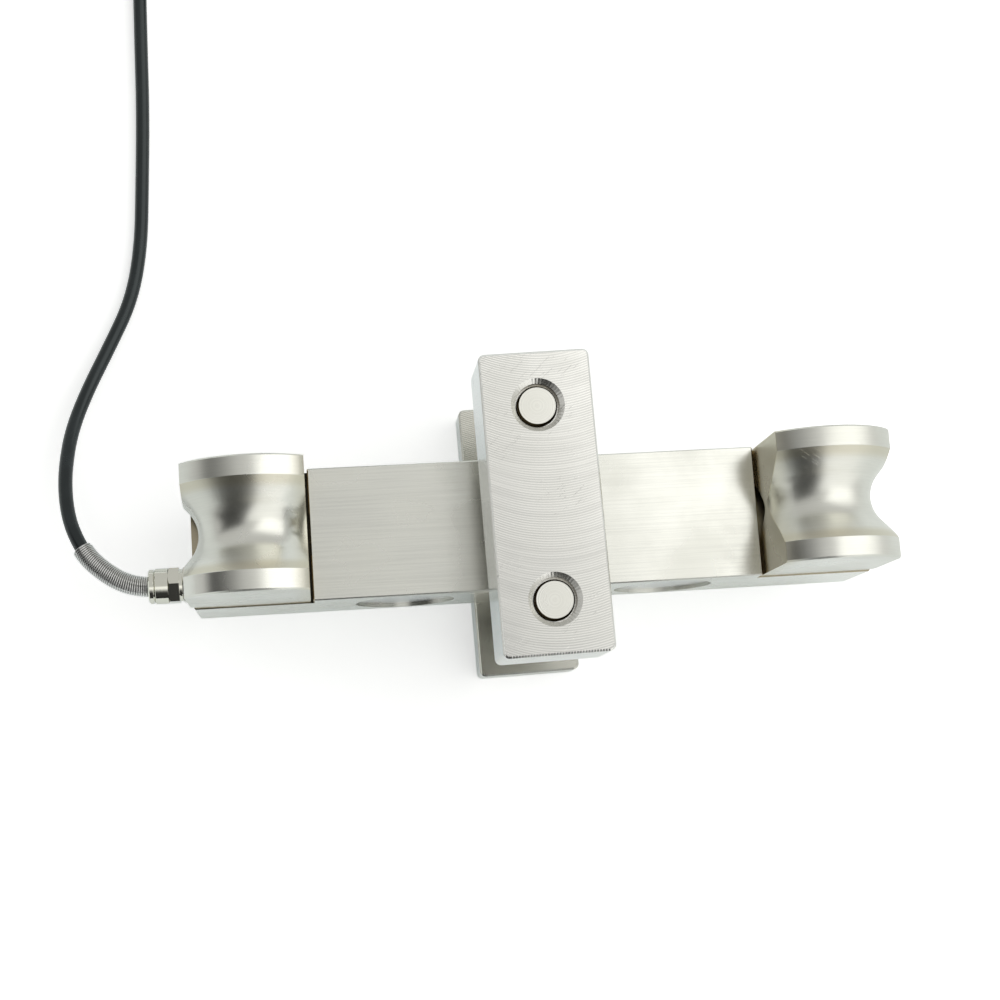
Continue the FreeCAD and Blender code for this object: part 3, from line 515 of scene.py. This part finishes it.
def saddle_material(name, worn, smooth, rough):
    made, tree, shader = plated_steel(name, SADDLE_PALE, SADDLE_DULL, smooth, rough)
    place = surface_place(tree)
    turning = grain(tree, place, TURNING_MARKS, 3)
    darken(tree, shader, turning, 0.03)
    x, y, _ = split(tree, place)
    across = calculate(tree, "ABSOLUTE", y)
    # Painted reflection: the steep walls of the groove are tinted ochre.
    wall = product(tree, fade(tree, across, WALL_FROM, WALL_STEEP, 0, 0.6),
                   fade(tree, across, GROOVE_EDGE - SHARP, GROOVE_EDGE, 1, 0))
    stain(tree, shader, wall, REFLECTION_TINT)
    along = calculate(tree, "ABSOLUTE", x)
    # Painted shade: the flats towards the land are darkened to olive, where they face the beam
    # across the gap.
    stain(tree, shader, fade(tree, along, SEAM_END, SEAM_END + SHARP, 0.75, 0), FLAT_SHADE)
    # Painted highlight: an ochre tint fades out over the groove from its inner end.
    stain(tree, shader, fade(tree, along, SEAM_END, SEAM_END + HIGHLIGHT_REACH, 0.5, 0), REFLECTION_TINT)
    marks = weighted(tree, turning, scratches(tree, place, SCRATCH_TURN, 0.66), worn)
    emboss(tree, shader, marks, TURNING_DEPTH)
    return made


dress("saddle_left", saddle_material("saddle_nickel", 0.6, 0.22, 0.31))
dress("saddle_right", saddle_material("saddle_nickel_worn", 4.0, 0.27, 0.37))


# ---------------------------------------------------------------------------
# Saddle screws and dowels: blackened socket screws from below and ground pins,
# all sunk in the beam.
# ---------------------------------------------------------------------------
BLACKENED = (0.10, 0.098, 0.095)
BLACKENED_DULL = (0.06, 0.058, 0.055)
GROUND_PALE = (0.60, 0.60, 0.60)
GROUND_DULL = (0.52, 0.52, 0.52)


def screw_material():
    made, tree, shader = plated_steel("blackened_steel", BLACKENED, BLACKENED_DULL, 0.35, 0.5)
    emboss(tree, shader, grain(tree, surface_place(tree), (900, 900, 900), 3), 0.00002)
    return made


def dowel_material():
    made, tree, shader = plated_steel("ground_steel", GROUND_PALE, GROUND_DULL, 0.12, 0.2)
    emboss(tree, shader, grain(tree, surface_place(tree), (60, 60, 4000), 2), 0.000004)
    return made


dress("saddle_screws", screw_material())
dress("saddle_dowels", dowel_material())


# ---------------------------------------------------------------------------
# Clamp bars: two sawn steel blocks, face milled with a wide cutter whose path shows
# as fine arcs, ground on the long sides, then plated; the long sides' pale colour is a
# painted sheen. The edges are broken with a chattering cutter, and the bores are stained.
# ---------------------------------------------------------------------------
CLAMP_X = -0.0025
CLAMP_TURN = math.radians(1.1)
CLAMP_REACH = 0.0375
CUTTER_RADIUS = 0.057
CUTTER_ASIDE = 0.004
FEED = 0.00095
CHATTER_PITCH = 0.0011
TEETH_ROUND_HOLE = 46
BORE_REACH = 0.0095
CHAMFER_REACH = 0.0125
STAINED_BORE = (0.24, 0.20, 0.13)
SAW_MARKS = (25, 25, 1800)
NICK_TURN = -0.7
MILLED_DEPTH = 0.000030
FRONT_PALE = (0.80, 0.795, 0.765)
FRONT_DULL = (0.74, 0.735, 0.70)
FRONT_SIDE_SHEEN = (0.91, 0.925, 0.92)
REAR_PALE = (0.66, 0.655, 0.60)
REAR_DULL = (0.56, 0.555, 0.50)
REAR_SIDE_SHEEN = (0.80, 0.80, 0.78)


def clamp_place(tree):
    """Surface place measured from the clamp's middle, along and across its bars."""
    node = tree.nodes.new("ShaderNodeMapping")
    node.vector_type = "TEXTURE"
    node.inputs["Location"].default_value = (CLAMP_X, 0, 0)
    node.inputs["Rotation"].default_value = (0, 0, CLAMP_TURN)
    put(tree, node.inputs["Vector"], surface_place(tree))
    return node.outputs[0]


def hole_place(tree, place):
    """Lengths along and across the bars from the nearer clamp hole's axis."""
    x, y, _ = split(tree, place)
    return x, calculate(tree, "SUBTRACT", calculate(tree, "ABSOLUTE", y), CLAMP_REACH)


def join(tree, x, y, z):
    node = tree.nodes.new("ShaderNodeCombineXYZ")
    for socket, value in zip(node.inputs, (x, y, z)):
        put(tree, socket, value)
    return node.outputs[0]


def cutter_arcs(tree, place):
    """Marks of the face mill: arcs whose middle lies up the bar, uneven in depth."""
    x, y, z = split(tree, place)
    aside = calculate(tree, "SUBTRACT", x, CUTTER_ASIDE)
    square = calculate(tree, "SUBTRACT", CUTTER_RADIUS ** 2, product(tree, aside, aside))
    path = calculate(tree, "ADD", y, calculate(tree, "SQRT", square))
    path = weighted(tree, path, grain(tree, place, (30, 60, 30), 1), 0.0012)
    ridge = calculate(tree, "SINE", product(tree, path, 2 * math.pi / FEED))
    deep = fade(tree, grain(tree, place, (26, 26, 26), 1), 0.40, 0.62, 0.25, 1.0)
    uneven = grain(tree, join(tree, x, path, z), (14, 900, 14), 2)
    return weighted(tree, weighted(tree, 0.33, uneven, 0.35), product(tree, ridge, deep), 0.17)


def facing(tree, axis):
    """How squarely the face looks along one axis: 0 for x, 2 for z."""
    node = tree.nodes.new("ShaderNodeNewGeometry")
    return calculate(tree, "ABSOLUTE", split(tree, node.outputs["True Normal"])[axis])


def chatter(tree, place):
    """Teeth left on the broken edges: across the straight ones, and round the holes."""
    along, across = hole_place(tree, place)
    round_hole = calculate(tree, "ARCTAN2", across, along)
    teeth = calculate(tree, "SINE", product(tree, round_hole, TEETH_ROUND_HOLE))
    ripple = calculate(tree, "SINE", product(tree, along, 2 * math.pi / CHATTER_PITCH))
    both = tree.nodes.new("ShaderNodeMix")
    put(tree, both.inputs[0], fade(
        tree, distance(tree, along, across), CHAMFER_REACH, CHAMFER_REACH + 0.001, 1, 0))
    put(tree, both.inputs[2], ripple)
    put(tree, both.inputs[3], teeth)
    return product(tree, both.outputs[0], grain(tree, place, (500, 500, 500), 1))


def bar_material(name, pale, dull, side_sheen):
    made, tree, shader = plated_steel(name, pale, dull, 0.17, 0.25)
    place = clamp_place(tree)
    up = facing(tree, 2)
    flat = fade(tree, up, 0.95, 0.99)
    slanted = product(tree, fade(tree, up, 0.25, 0.45), fade(tree, up, 0.9, 0.95, 1, 0))
    upright = fade(tree, up, 0.05, 0.2, 1, 0)
    arcs = product(tree, cutter_arcs(tree, place), flat)
    darken(tree, shader, arcs, 0.16)
    # Painted sheen: the long sides, facing along x, are coloured pale and bluish.
    stain(tree, shader, fade(tree, facing(tree, 0), 0.95, 0.99), side_sheen)
    in_bore = calculate(tree, "LESS_THAN", distance(tree, *hole_place(tree, place)), BORE_REACH)
    stain(tree, shader, product(tree, in_bore, upright), STAINED_BORE)
    sides = product(tree, grain(tree, place, SAW_MARKS, 2), upright)
    relief = weighted(tree, arcs, sides, 0.5)
    relief = weighted(tree, relief, product(tree, chatter(tree, place), slanted), 1.3)
    relief = weighted(tree, relief, scratches(tree, place, NICK_TURN, 0.68), 2.0)
    emboss(tree, shader, relief, MILLED_DEPTH)
    return made


front_nickel = bar_material("front_bar_nickel", FRONT_PALE, FRONT_DULL, FRONT_SIDE_SHEEN)
rear_nickel = bar_material("rear_bar_nickel", REAR_PALE, REAR_DULL, REAR_SIDE_SHEEN)
dress("clamp_front_bar", front_nickel)
dress("clamp_rear_bar", rear_nickel)


# ---------------------------------------------------------------------------
# Clamp screws: long steel screws turned from bar, with a hexagon socket in a low head
# and the thread only where they enter the front bar. Their faced ends show rings.
# ---------------------------------------------------------------------------
SCREW_ROUND = 48
SCREW_RADIUS = 0.0079
SCREW_HEAD = 0.012
SCREW_HEAD_TOP = 0.009
HEAD_BREAK = 0.0006
SCREW_KEY = 0.006
SCREW_KEY_DEEP = 0.005
KEY_MOUTH = 0.0013
KEY_MOUTH_DEEP = 0.0004
THREAD_START = 0.076
THREAD_PITCH = 0.002
THREAD_DEEP = 0.001
FLANK_STEEP = 1.25
LEVELS_PER_PITCH = 10
SCREW_END = 0.120
SCREW_BREAK = 0.00075
STAINED_REACH = 0.003
STAINED_END = (0.20, 0.175, 0.12)
END_RINGS = 2200
END_RING_DEPTH = 0.000016
SCREW_PALE = (0.81, 0.805, 0.76)
SCREW_DULL = (0.75, 0.745, 0.69)


def round_ring(radius, height):
    return [(radius, height)] * SCREW_ROUND


def socket_ring(height):
    """Ring on the six flats of the key's socket."""
    ring = []
    for step in range(SCREW_ROUND):
        turn = (360 * step / SCREW_ROUND) % 60 - 30
        ring.append((SCREW_KEY / math.cos(math.radians(turn)), height))
    return ring


def thread_ring(height):
    """Ring across the thread, which deepens over its first turn and runs to the end."""
    run_out = min((height - THREAD_START) / THREAD_PITCH, 1)
    ring = []
    for step in range(SCREW_ROUND):
        phase = (height / THREAD_PITCH - step / SCREW_ROUND) % 1
        flank = min(abs(2 * phase - 1) * FLANK_STEEP, 1)
        ring.append((SCREW_RADIUS - THREAD_DEEP * run_out * (1 - flank), height))
    return ring


def screw_rings():
    """From the floor of the socket, out over the head, and up the shank to its end."""
    rings = [socket_ring(SCREW_KEY_DEEP), socket_ring(KEY_MOUTH_DEEP),
             round_ring(SCREW_KEY + KEY_MOUTH, 0), round_ring(SCREW_HEAD - HEAD_BREAK, 0),
             round_ring(SCREW_HEAD, HEAD_BREAK), round_ring(SCREW_HEAD, SCREW_HEAD_TOP),
             round_ring(SCREW_RADIUS, SCREW_HEAD_TOP), round_ring(SCREW_RADIUS, THREAD_START)]
    levels = int((SCREW_END - SCREW_BREAK - THREAD_START) / THREAD_PITCH * LEVELS_PER_PITCH)
    for level in range(1, levels + 1):
        rings.append(thread_ring(THREAD_START + level * THREAD_PITCH / LEVELS_PER_PITCH))
    rings.append(round_ring(SCREW_RADIUS - SCREW_BREAK, SCREW_END))
    return rings


def add_screw(mesh, middle):
    """Skin the rings round the middle, and close both ends."""
    placed = []
    for ring in screw_rings():
        row = []
        for step, (radius, height) in enumerate(ring):
            angle = 2 * math.pi * step / SCREW_ROUND
            out = Vector((math.cos(angle), math.sin(angle), 0)) * radius
            row.append(mesh.verts.new(middle + out + Vector((0, 0, height))))
        placed.append(row)
    for row, after in zip(placed, placed[1:]):
        for step in range(SCREW_ROUND):
            following = (step + 1) % SCREW_ROUND
            mesh.faces.new((row[step], row[following], after[following], after[step]))
    mesh.faces.new(list(reversed(placed[0])))
    mesh.faces.new(placed[-1])


def clamp_screw_material():
    made, tree, shader = plated_steel("screw_nickel", SCREW_PALE, SCREW_DULL, 0.22, 0.30)
    place = clamp_place(tree)
    rings = ring_marks(tree, *hole_place(tree, place), END_RINGS)
    darken(tree, shader, rings, 0.07)
    height = split(tree, place)[2]
    near_end = fade(tree, height, SCREW_END - 2 * STAINED_REACH, SCREW_END - STAINED_REACH)
    slanted = fade(tree, facing(tree, 2), 0.93, 0.97, 1, 0)
    stain(tree, shader, product(tree, slanted, near_end), STAINED_END)
    emboss(tree, shader, rings, END_RING_DEPTH)
    return made


def clamp_screws():
    mesh = bmesh.new()
    for side in (-1, 1):
        reach = Vector((0, side * CLAMP_REACH, 0))
        reach.rotate(Matrix.Rotation(CLAMP_TURN, 3, "Z"))
        add_screw(mesh, Vector((CLAMP_X, 0, 0)) + reach)
    data = bpy.data.meshes.new("clamp_screws_threaded")
    mesh.to_mesh(data)
    mesh.free()
    data.materials.append(clamp_screw_material())
    return mesh_object("clamp_screws_threaded", data)


screws = clamp_screws()
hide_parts("clamp_screws")
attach(screws, "root")


# ---------------------------------------------------------------------------
# Cable gland: brass body and nut turned from hexagon bar and nickelled bright, with
# a rubber ring under the body and a rubber seal round the cable.
# ---------------------------------------------------------------------------
GLAND_BRIGHT = (0.72, 0.715, 0.64)
GLAND_DULL = (0.66, 0.655, 0.58)
RUBBER_BLACK = (0.012, 0.012, 0.012)


def gland_material():
    made, tree, shader = plated_steel("bright_nickel", GLAND_BRIGHT, GLAND_DULL, 0.07, 0.13)
    emboss(tree, shader, grain(tree, surface_place(tree), (3000, 60, 60), 2), 0.000004)
    return made


def moulded(name, marks, tone, change, smooth, rough):
    """Cloudy rubber or plastic: its tone changes by the given factor, and its polish too."""
    made, tree, shader = new_material(name)
    cloud = fade(tree, grain(tree, surface_place(tree), (marks, marks, marks), 3), 0.3, 0.7)
    other = tuple(change * part for part in tone)
    put(tree, shader.inputs["Base Color"], mix_colours(tree, cloud, (*tone, 1), (*other, 1)))
    put(tree, shader.inputs["Roughness"], fade(tree, cloud, 0, 1, smooth, rough))
    return made, tree, shader


gland_nickel = gland_material()
seal_rubber, _, _ = moulded("seal_rubber", 300, RUBBER_BLACK, 1.6, 0.5, 0.7)
dress("gland_body", gland_nickel)
dress("gland_nut", gland_nickel)
dress("gland_oring", seal_rubber)
dress("gland_seal", seal_rubber)
dress("cable_entry", jacket)


# ---------------------------------------------------------------------------
# Bend guard: a close-wound spring of bright wire, pushed over the cable and seated
# in the gland's nut.
# ---------------------------------------------------------------------------
WIRE = 0.00080
WIRE_PITCH = 0.00090
WIRE_PLAY = 0.0005
GUARD_SEAT = 0.0061
GUARD_LENGTH = 0.0335
STEPS_PER_TURN = 20
WIRE_SIDES = 8
WIRE_BRIGHT = (0.66, 0.66, 0.65)
WIRE_DULL = (0.56, 0.56, 0.55)


def middle_line():
    """Points along the cable's spline."""
    bare = cable_curve("cable_middle", 0)
    bare.data.resolution_u = 12
    mesh = bpy.data.meshes.new_from_object(bare)
    points = [vertex.co.copy() for vertex in mesh.vertices]
    bpy.data.objects.remove(bare)
    bpy.data.meshes.remove(mesh)
    return points


def helix_points(line):
    """Wire's middle: a helix round the line, from the nut's shoulder outwards."""
    heading = (line[1] - line[0]).normalized()
    line = [line[0] - heading * GUARD_SEAT] + line
    side = heading.cross(Vector((0, 0, 1))).normalized()
    radius = CABLE / 2 + WIRE_PLAY + WIRE / 2
    step = WIRE_PITCH / STEPS_PER_TURN
    points, done, reached = [], 0.0, 0.0
    for start, end in zip(line, line[1:]):
        heading = (end - start).normalized()
        side = (side - heading * side.dot(heading)).normalized()
        up = heading.cross(side)
        length = (end - start).length
        while done <= reached + length and done <= GUARD_SEAT + GUARD_LENGTH:
            angle = 2 * math.pi * done / WIRE_PITCH
            middle = start + heading * (done - reached)
            points.append(middle + (side * math.cos(angle) + up * math.sin(angle)) * radius)
            done += step
        reached += length
    return points


def swept_wire(name, points, thickness, sides):
    """Round wire swept through the points, with closed ends."""
    wire = bmesh.new()
    rings = []
    side = (points[1] - points[0]).orthogonal().normalized()
    for index, point in enumerate(points):
        ahead = points[min(index + 1, len(points) - 1)] - points[max(index - 1, 0)]
        heading = ahead.normalized()
        side = (side - heading * side.dot(heading)).normalized()
        up = heading.cross(side)
        ring = []
        for step in range(sides):
            angle = 2 * math.pi * step / sides
            out = side * math.cos(angle) + up * math.sin(angle)
            ring.append(wire.verts.new(point + out * thickness / 2))
        rings.append(ring)
    for ring, after in zip(rings, rings[1:]):
        for step in range(sides):
            following = (step + 1) % sides
            face = wire.faces.new((ring[step], ring[following], after[following], after[step]))
            face.smooth = True
    wire.faces.new(list(reversed(rings[0])))
    wire.faces.new(rings[-1])
    mesh = bpy.data.meshes.new(name)
    wire.to_mesh(mesh)
    wire.free()
    return mesh_object(name, mesh)


def spring_material():
    made, tree, shader = plated_steel("spring_wire", WIRE_BRIGHT, WIRE_DULL, 0.07, 0.13)
    emboss(tree, shader, grain(tree, surface_place(tree), (900, 900, 900), 2), 0.000004)
    return made


guard = swept_wire("bend_guard", helix_points(middle_line()), WIRE, WIRE_SIDES)
guard.data.materials.append(spring_material())
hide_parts("spring_guard")
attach(guard, "root")


# ---------------------------------------------------------------------------
# Cable ties: two black nylon straps drawn round the coil. Each strap passes through
# its moulded lock on top, and its tail is cut short above the lock.
# ---------------------------------------------------------------------------
STRAP_WIDE = 0.004
STRAP_THICK = 0.0012
STRAP_EDGE = 0.0003
STRAP_IN = 0.0154
STRAP_OUT = 0.0560
STRAP_LOW = 0.0006
STRAP_TOP = 0.0141
STRAP_BEND = 0.0039
BEND_STEPS = 8
LOCK_ALONG = 0.0505
LOCK_SIZE = (0.0052, 0.0060, 0.0040)
LOCK_SUNK = 0.0002
LOCK_ROUNDING = 0.0007
TAIL_ALONG = LOCK_ALONG + 0.0004
TAIL_STANDS = 0.0020
TAIL_SUNK = 0.0004
TAIL_SIZE = (STRAP_THICK, STRAP_WIDE - 0.0004, TAIL_STANDS + 2 * TAIL_SUNK)
TAIL_ROUNDING = 0.00015
MOUTH_ALONG = LOCK_ALONG - 0.0032
MOUTH_HIGH = 0.0012
MOUTH_SIZE = (0.0022, 0.0050, 0.0020)
MOUTH_ROUNDING = 0.0005
NYLON_BLACK = (0.016, 0.016, 0.017)


def strap_path():
    """Middle of the strap, as distance from the coil's middle and height."""
    corners = (
        (STRAP_OUT - STRAP_BEND, STRAP_TOP - STRAP_BEND, 0),
        (STRAP_IN + STRAP_BEND, STRAP_TOP - STRAP_BEND, 90),
        (STRAP_IN + STRAP_BEND, STRAP_LOW + STRAP_BEND, 180),
        (STRAP_OUT - STRAP_BEND, STRAP_LOW + STRAP_BEND, 270),
    )
    path = []
    for along, height, start in corners:
        for step in range(BEND_STEPS + 1):
            angle = math.radians(start + 90 * step / BEND_STEPS)
            path.append((along + STRAP_BEND * math.cos(angle),
                         height + STRAP_BEND * math.sin(angle)))
    return path


def strap_section():
    """Outline across the strap: offsets outwards and sideways, with broken edges."""
    thick, wide = STRAP_THICK / 2, STRAP_WIDE / 2
    flat, side = thick - STRAP_EDGE, wide - STRAP_EDGE
    return [(thick, -side), (thick, side), (flat, wide), (-flat, wide),
            (-thick, side), (-thick, -side), (-flat, -wide), (flat, -wide)]


def add_strap(mesh):
    path = strap_path()
    rows = []
    for index, (along, height) in enumerate(path):
        before, after = path[index - 1], path[(index + 1) % len(path)]
        heading = Vector((after[0] - before[0], after[1] - before[1])).normalized()
        outwards = Vector((heading.y, -heading.x))
        rows.append([
            mesh.verts.new((along + outwards.x * off, aside, height + outwards.y * off))
            for off, aside in strap_section()
        ])
    for row, after in zip(rows, rows[1:] + rows[:1]):
        for step in range(len(row)):
            following = (step + 1) % len(row)
            mesh.faces.new((row[step], row[following], after[following], after[step]))


def add_block(mesh, middle, size, rounding):
    """Moulded block with rounded edges."""
    place = Matrix.Translation(middle) @ Matrix.Diagonal((*size, 1))
    made = bmesh.ops.create_cube(mesh, size=1, matrix=place)
    edges = {edge for vertex in made["verts"] for edge in vertex.link_edges}
    bmesh.ops.bevel(mesh, geom=list(edges), offset=rounding, segments=3, affect="EDGES")


def cable_tie(name, degrees):
    """Strap, lock, cut tail and the lock's mouth, turned about the coil's middle."""
    mesh = bmesh.new()
    add_strap(mesh)
    base = STRAP_TOP + STRAP_THICK / 2 - LOCK_SUNK
    top = base + LOCK_SIZE[2]
    add_block(mesh, (LOCK_ALONG, 0, (base + top) / 2), LOCK_SIZE, LOCK_ROUNDING)
    tail = top + TAIL_STANDS / 2 - TAIL_SUNK
    add_block(mesh, (TAIL_ALONG, 0, tail), TAIL_SIZE, TAIL_ROUNDING)
    add_block(mesh, (MOUTH_ALONG, 0, base + MOUTH_HIGH), MOUTH_SIZE, MOUTH_ROUNDING)
    turn = Matrix.Translation(COIL_MIDDLE) @ Matrix.Rotation(math.radians(degrees), 4, "Z")
    bmesh.ops.transform(mesh, matrix=turn, verts=mesh.verts)
    bmesh.ops.recalc_face_normals(mesh, faces=mesh.faces)
    data = bpy.data.meshes.new(name)
    mesh.to_mesh(data)
    mesh.free()
    tie = mesh_object(name, data)
    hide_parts("cable_ties")
    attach(tie, "root")
    return tie


def nylon_material():
    made, tree, shader = moulded("tie_nylon", 200, NYLON_BLACK, 1.88, 0.32, 0.42)
    emboss(tree, shader, grain(tree, surface_place(tree), (1200, 1200, 1200)), 0.00002)
    return made


nylon = nylon_material()
ties = [cable_tie("cable_tie_far", 45), cable_tie("cable_tie_near", 225)]
for tie in ties:
    tie.data.materials.append(nylon)


# ---------------------------------------------------------------------------
# Flying leads: the cable's four insulated cores, stripped out of the jacket at its end
# and spread by hand. Each ends in a short tip of tinned strands.
# ---------------------------------------------------------------------------
CORE = 0.0013
CORE_APART = 0.00072
CORE_LONG = 0.0250
TIP_LONG = 0.0055
TIP_WIDE = 0.0008
CORE_STEPS = 24
TABLE_PLAY = 0.0001
TINNED_PALE = (0.72, 0.71, 0.69)
TINNED_DULL = (0.60, 0.59, 0.57)
CORE_COLOURS = {
    "red": (0.55, 0.05, 0.04), "black": (0.02, 0.02, 0.02),
    "green": (0.04, 0.30, 0.10), "white": (0.62, 0.62, 0.60),
}


def core_material(name, tone):
    made, _, _ = moulded(name, 150, tone, 0.8, 0.3, 0.4)
    return made


def tinned_material():
    made, tree, shader = plated_steel("tinned_strands", TINNED_PALE, TINNED_DULL, 0.25, 0.4)
    emboss(tree, shader, grain(tree, surface_place(tree), (500, 3500, 3500), 1), 0.00004)
    return made


def core_path(side, level, spread):
    """Middle of one core: straight out of the jacket, then aside and down to the table."""
    start, before = Vector(TAIL[-1]), Vector(TAIL[-2])
    heading = (start - before).normalized()
    across = heading.cross(Vector((0, 0, 1))).normalized()
    places = []
    for step in range(CORE_STEPS + 1):
        share = step / CORE_STEPS
        ease = share * share * (3 - 2 * share)
        height = start.z + level * CORE_APART
        height += (CORE / 2 + TABLE_PLAY - height) * min(ease * 1.3, 1)
        place = start + heading * (CORE_LONG + TIP_LONG) * share
        place += across * (side * CORE_APART + spread * ease)
        places.append(Vector((place.x, place.y, height)))
    return places


def flying_lead(colour, side, level, spread):
    path = core_path(side, level, spread)
    stripped = int(len(path) * CORE_LONG / (CORE_LONG + TIP_LONG))
    core = swept_wire(f"lead_{colour}", path[:stripped], CORE, 12)
    core.data.materials.append(core_material(f"core_{colour}", CORE_COLOURS[colour]))
    tip = swept_wire(f"lead_tip_{colour}", path[stripped - 2:], TIP_WIDE, 10)
    tip.data.materials.append(tinned)
    for piece in (core, tip):
        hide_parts("cable_leads")
        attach(piece, "root")
    return [core, tip]


tinned = tinned_material()
leads = flying_lead("red", -1, 1, -0.0002)
leads += flying_lead("black", -1, -1, 0.0028)
leads += flying_lead("green", 1, -1, 0.0056)
leads += flying_lead("white", 1, 1, 0.0090)


# ---------------------------------------------------------------------------
# Inside the beam: foil gauges bonded on the webs, a small terminal board on posts,
# and the leads between them.
# ---------------------------------------------------------------------------
GRID_PITCH = 0.0005
FILM_AMBER = (0.55, 0.30, 0.07, 1)
FOIL_PALE = (0.72, 0.60, 0.42, 1)
LAMINATE_DARK = (0.03, 0.16, 0.06, 1)
LAMINATE_PALE = (0.05, 0.23, 0.09, 1)
SLEEVE_WHITE = (0.6, 0.6, 0.58)


def foil_material():
    made, tree, shader = new_material("gauge_foil")
    height = split(tree, surface_place(tree))[2]
    grid = calculate(tree, "SINE", product(tree, height, 2 * math.pi / GRID_PITCH))
    put(tree, shader.inputs["Base Color"],
        mix_colours(tree, fade(tree, grid, -0.1, 0.1), FILM_AMBER, FOIL_PALE))
    shader.inputs["Roughness"].default_value = 0.35
    return made


def board_material():
    made, tree, shader = new_material("board_laminate")
    weave = fade(tree, grain(tree, surface_place(tree), (1500, 300, 1500), 1), 0.35, 0.65)
    put(tree, shader.inputs["Base Color"],
        mix_colours(tree, weave, LAMINATE_DARK, LAMINATE_PALE))
    shader.inputs["Roughness"].default_value = 0.3
    return made


dress("strain_gauges", foil_material())
dress("terminal_board", board_material())
dress("internal_leads", core_material("core_white", SLEEVE_WHITE))
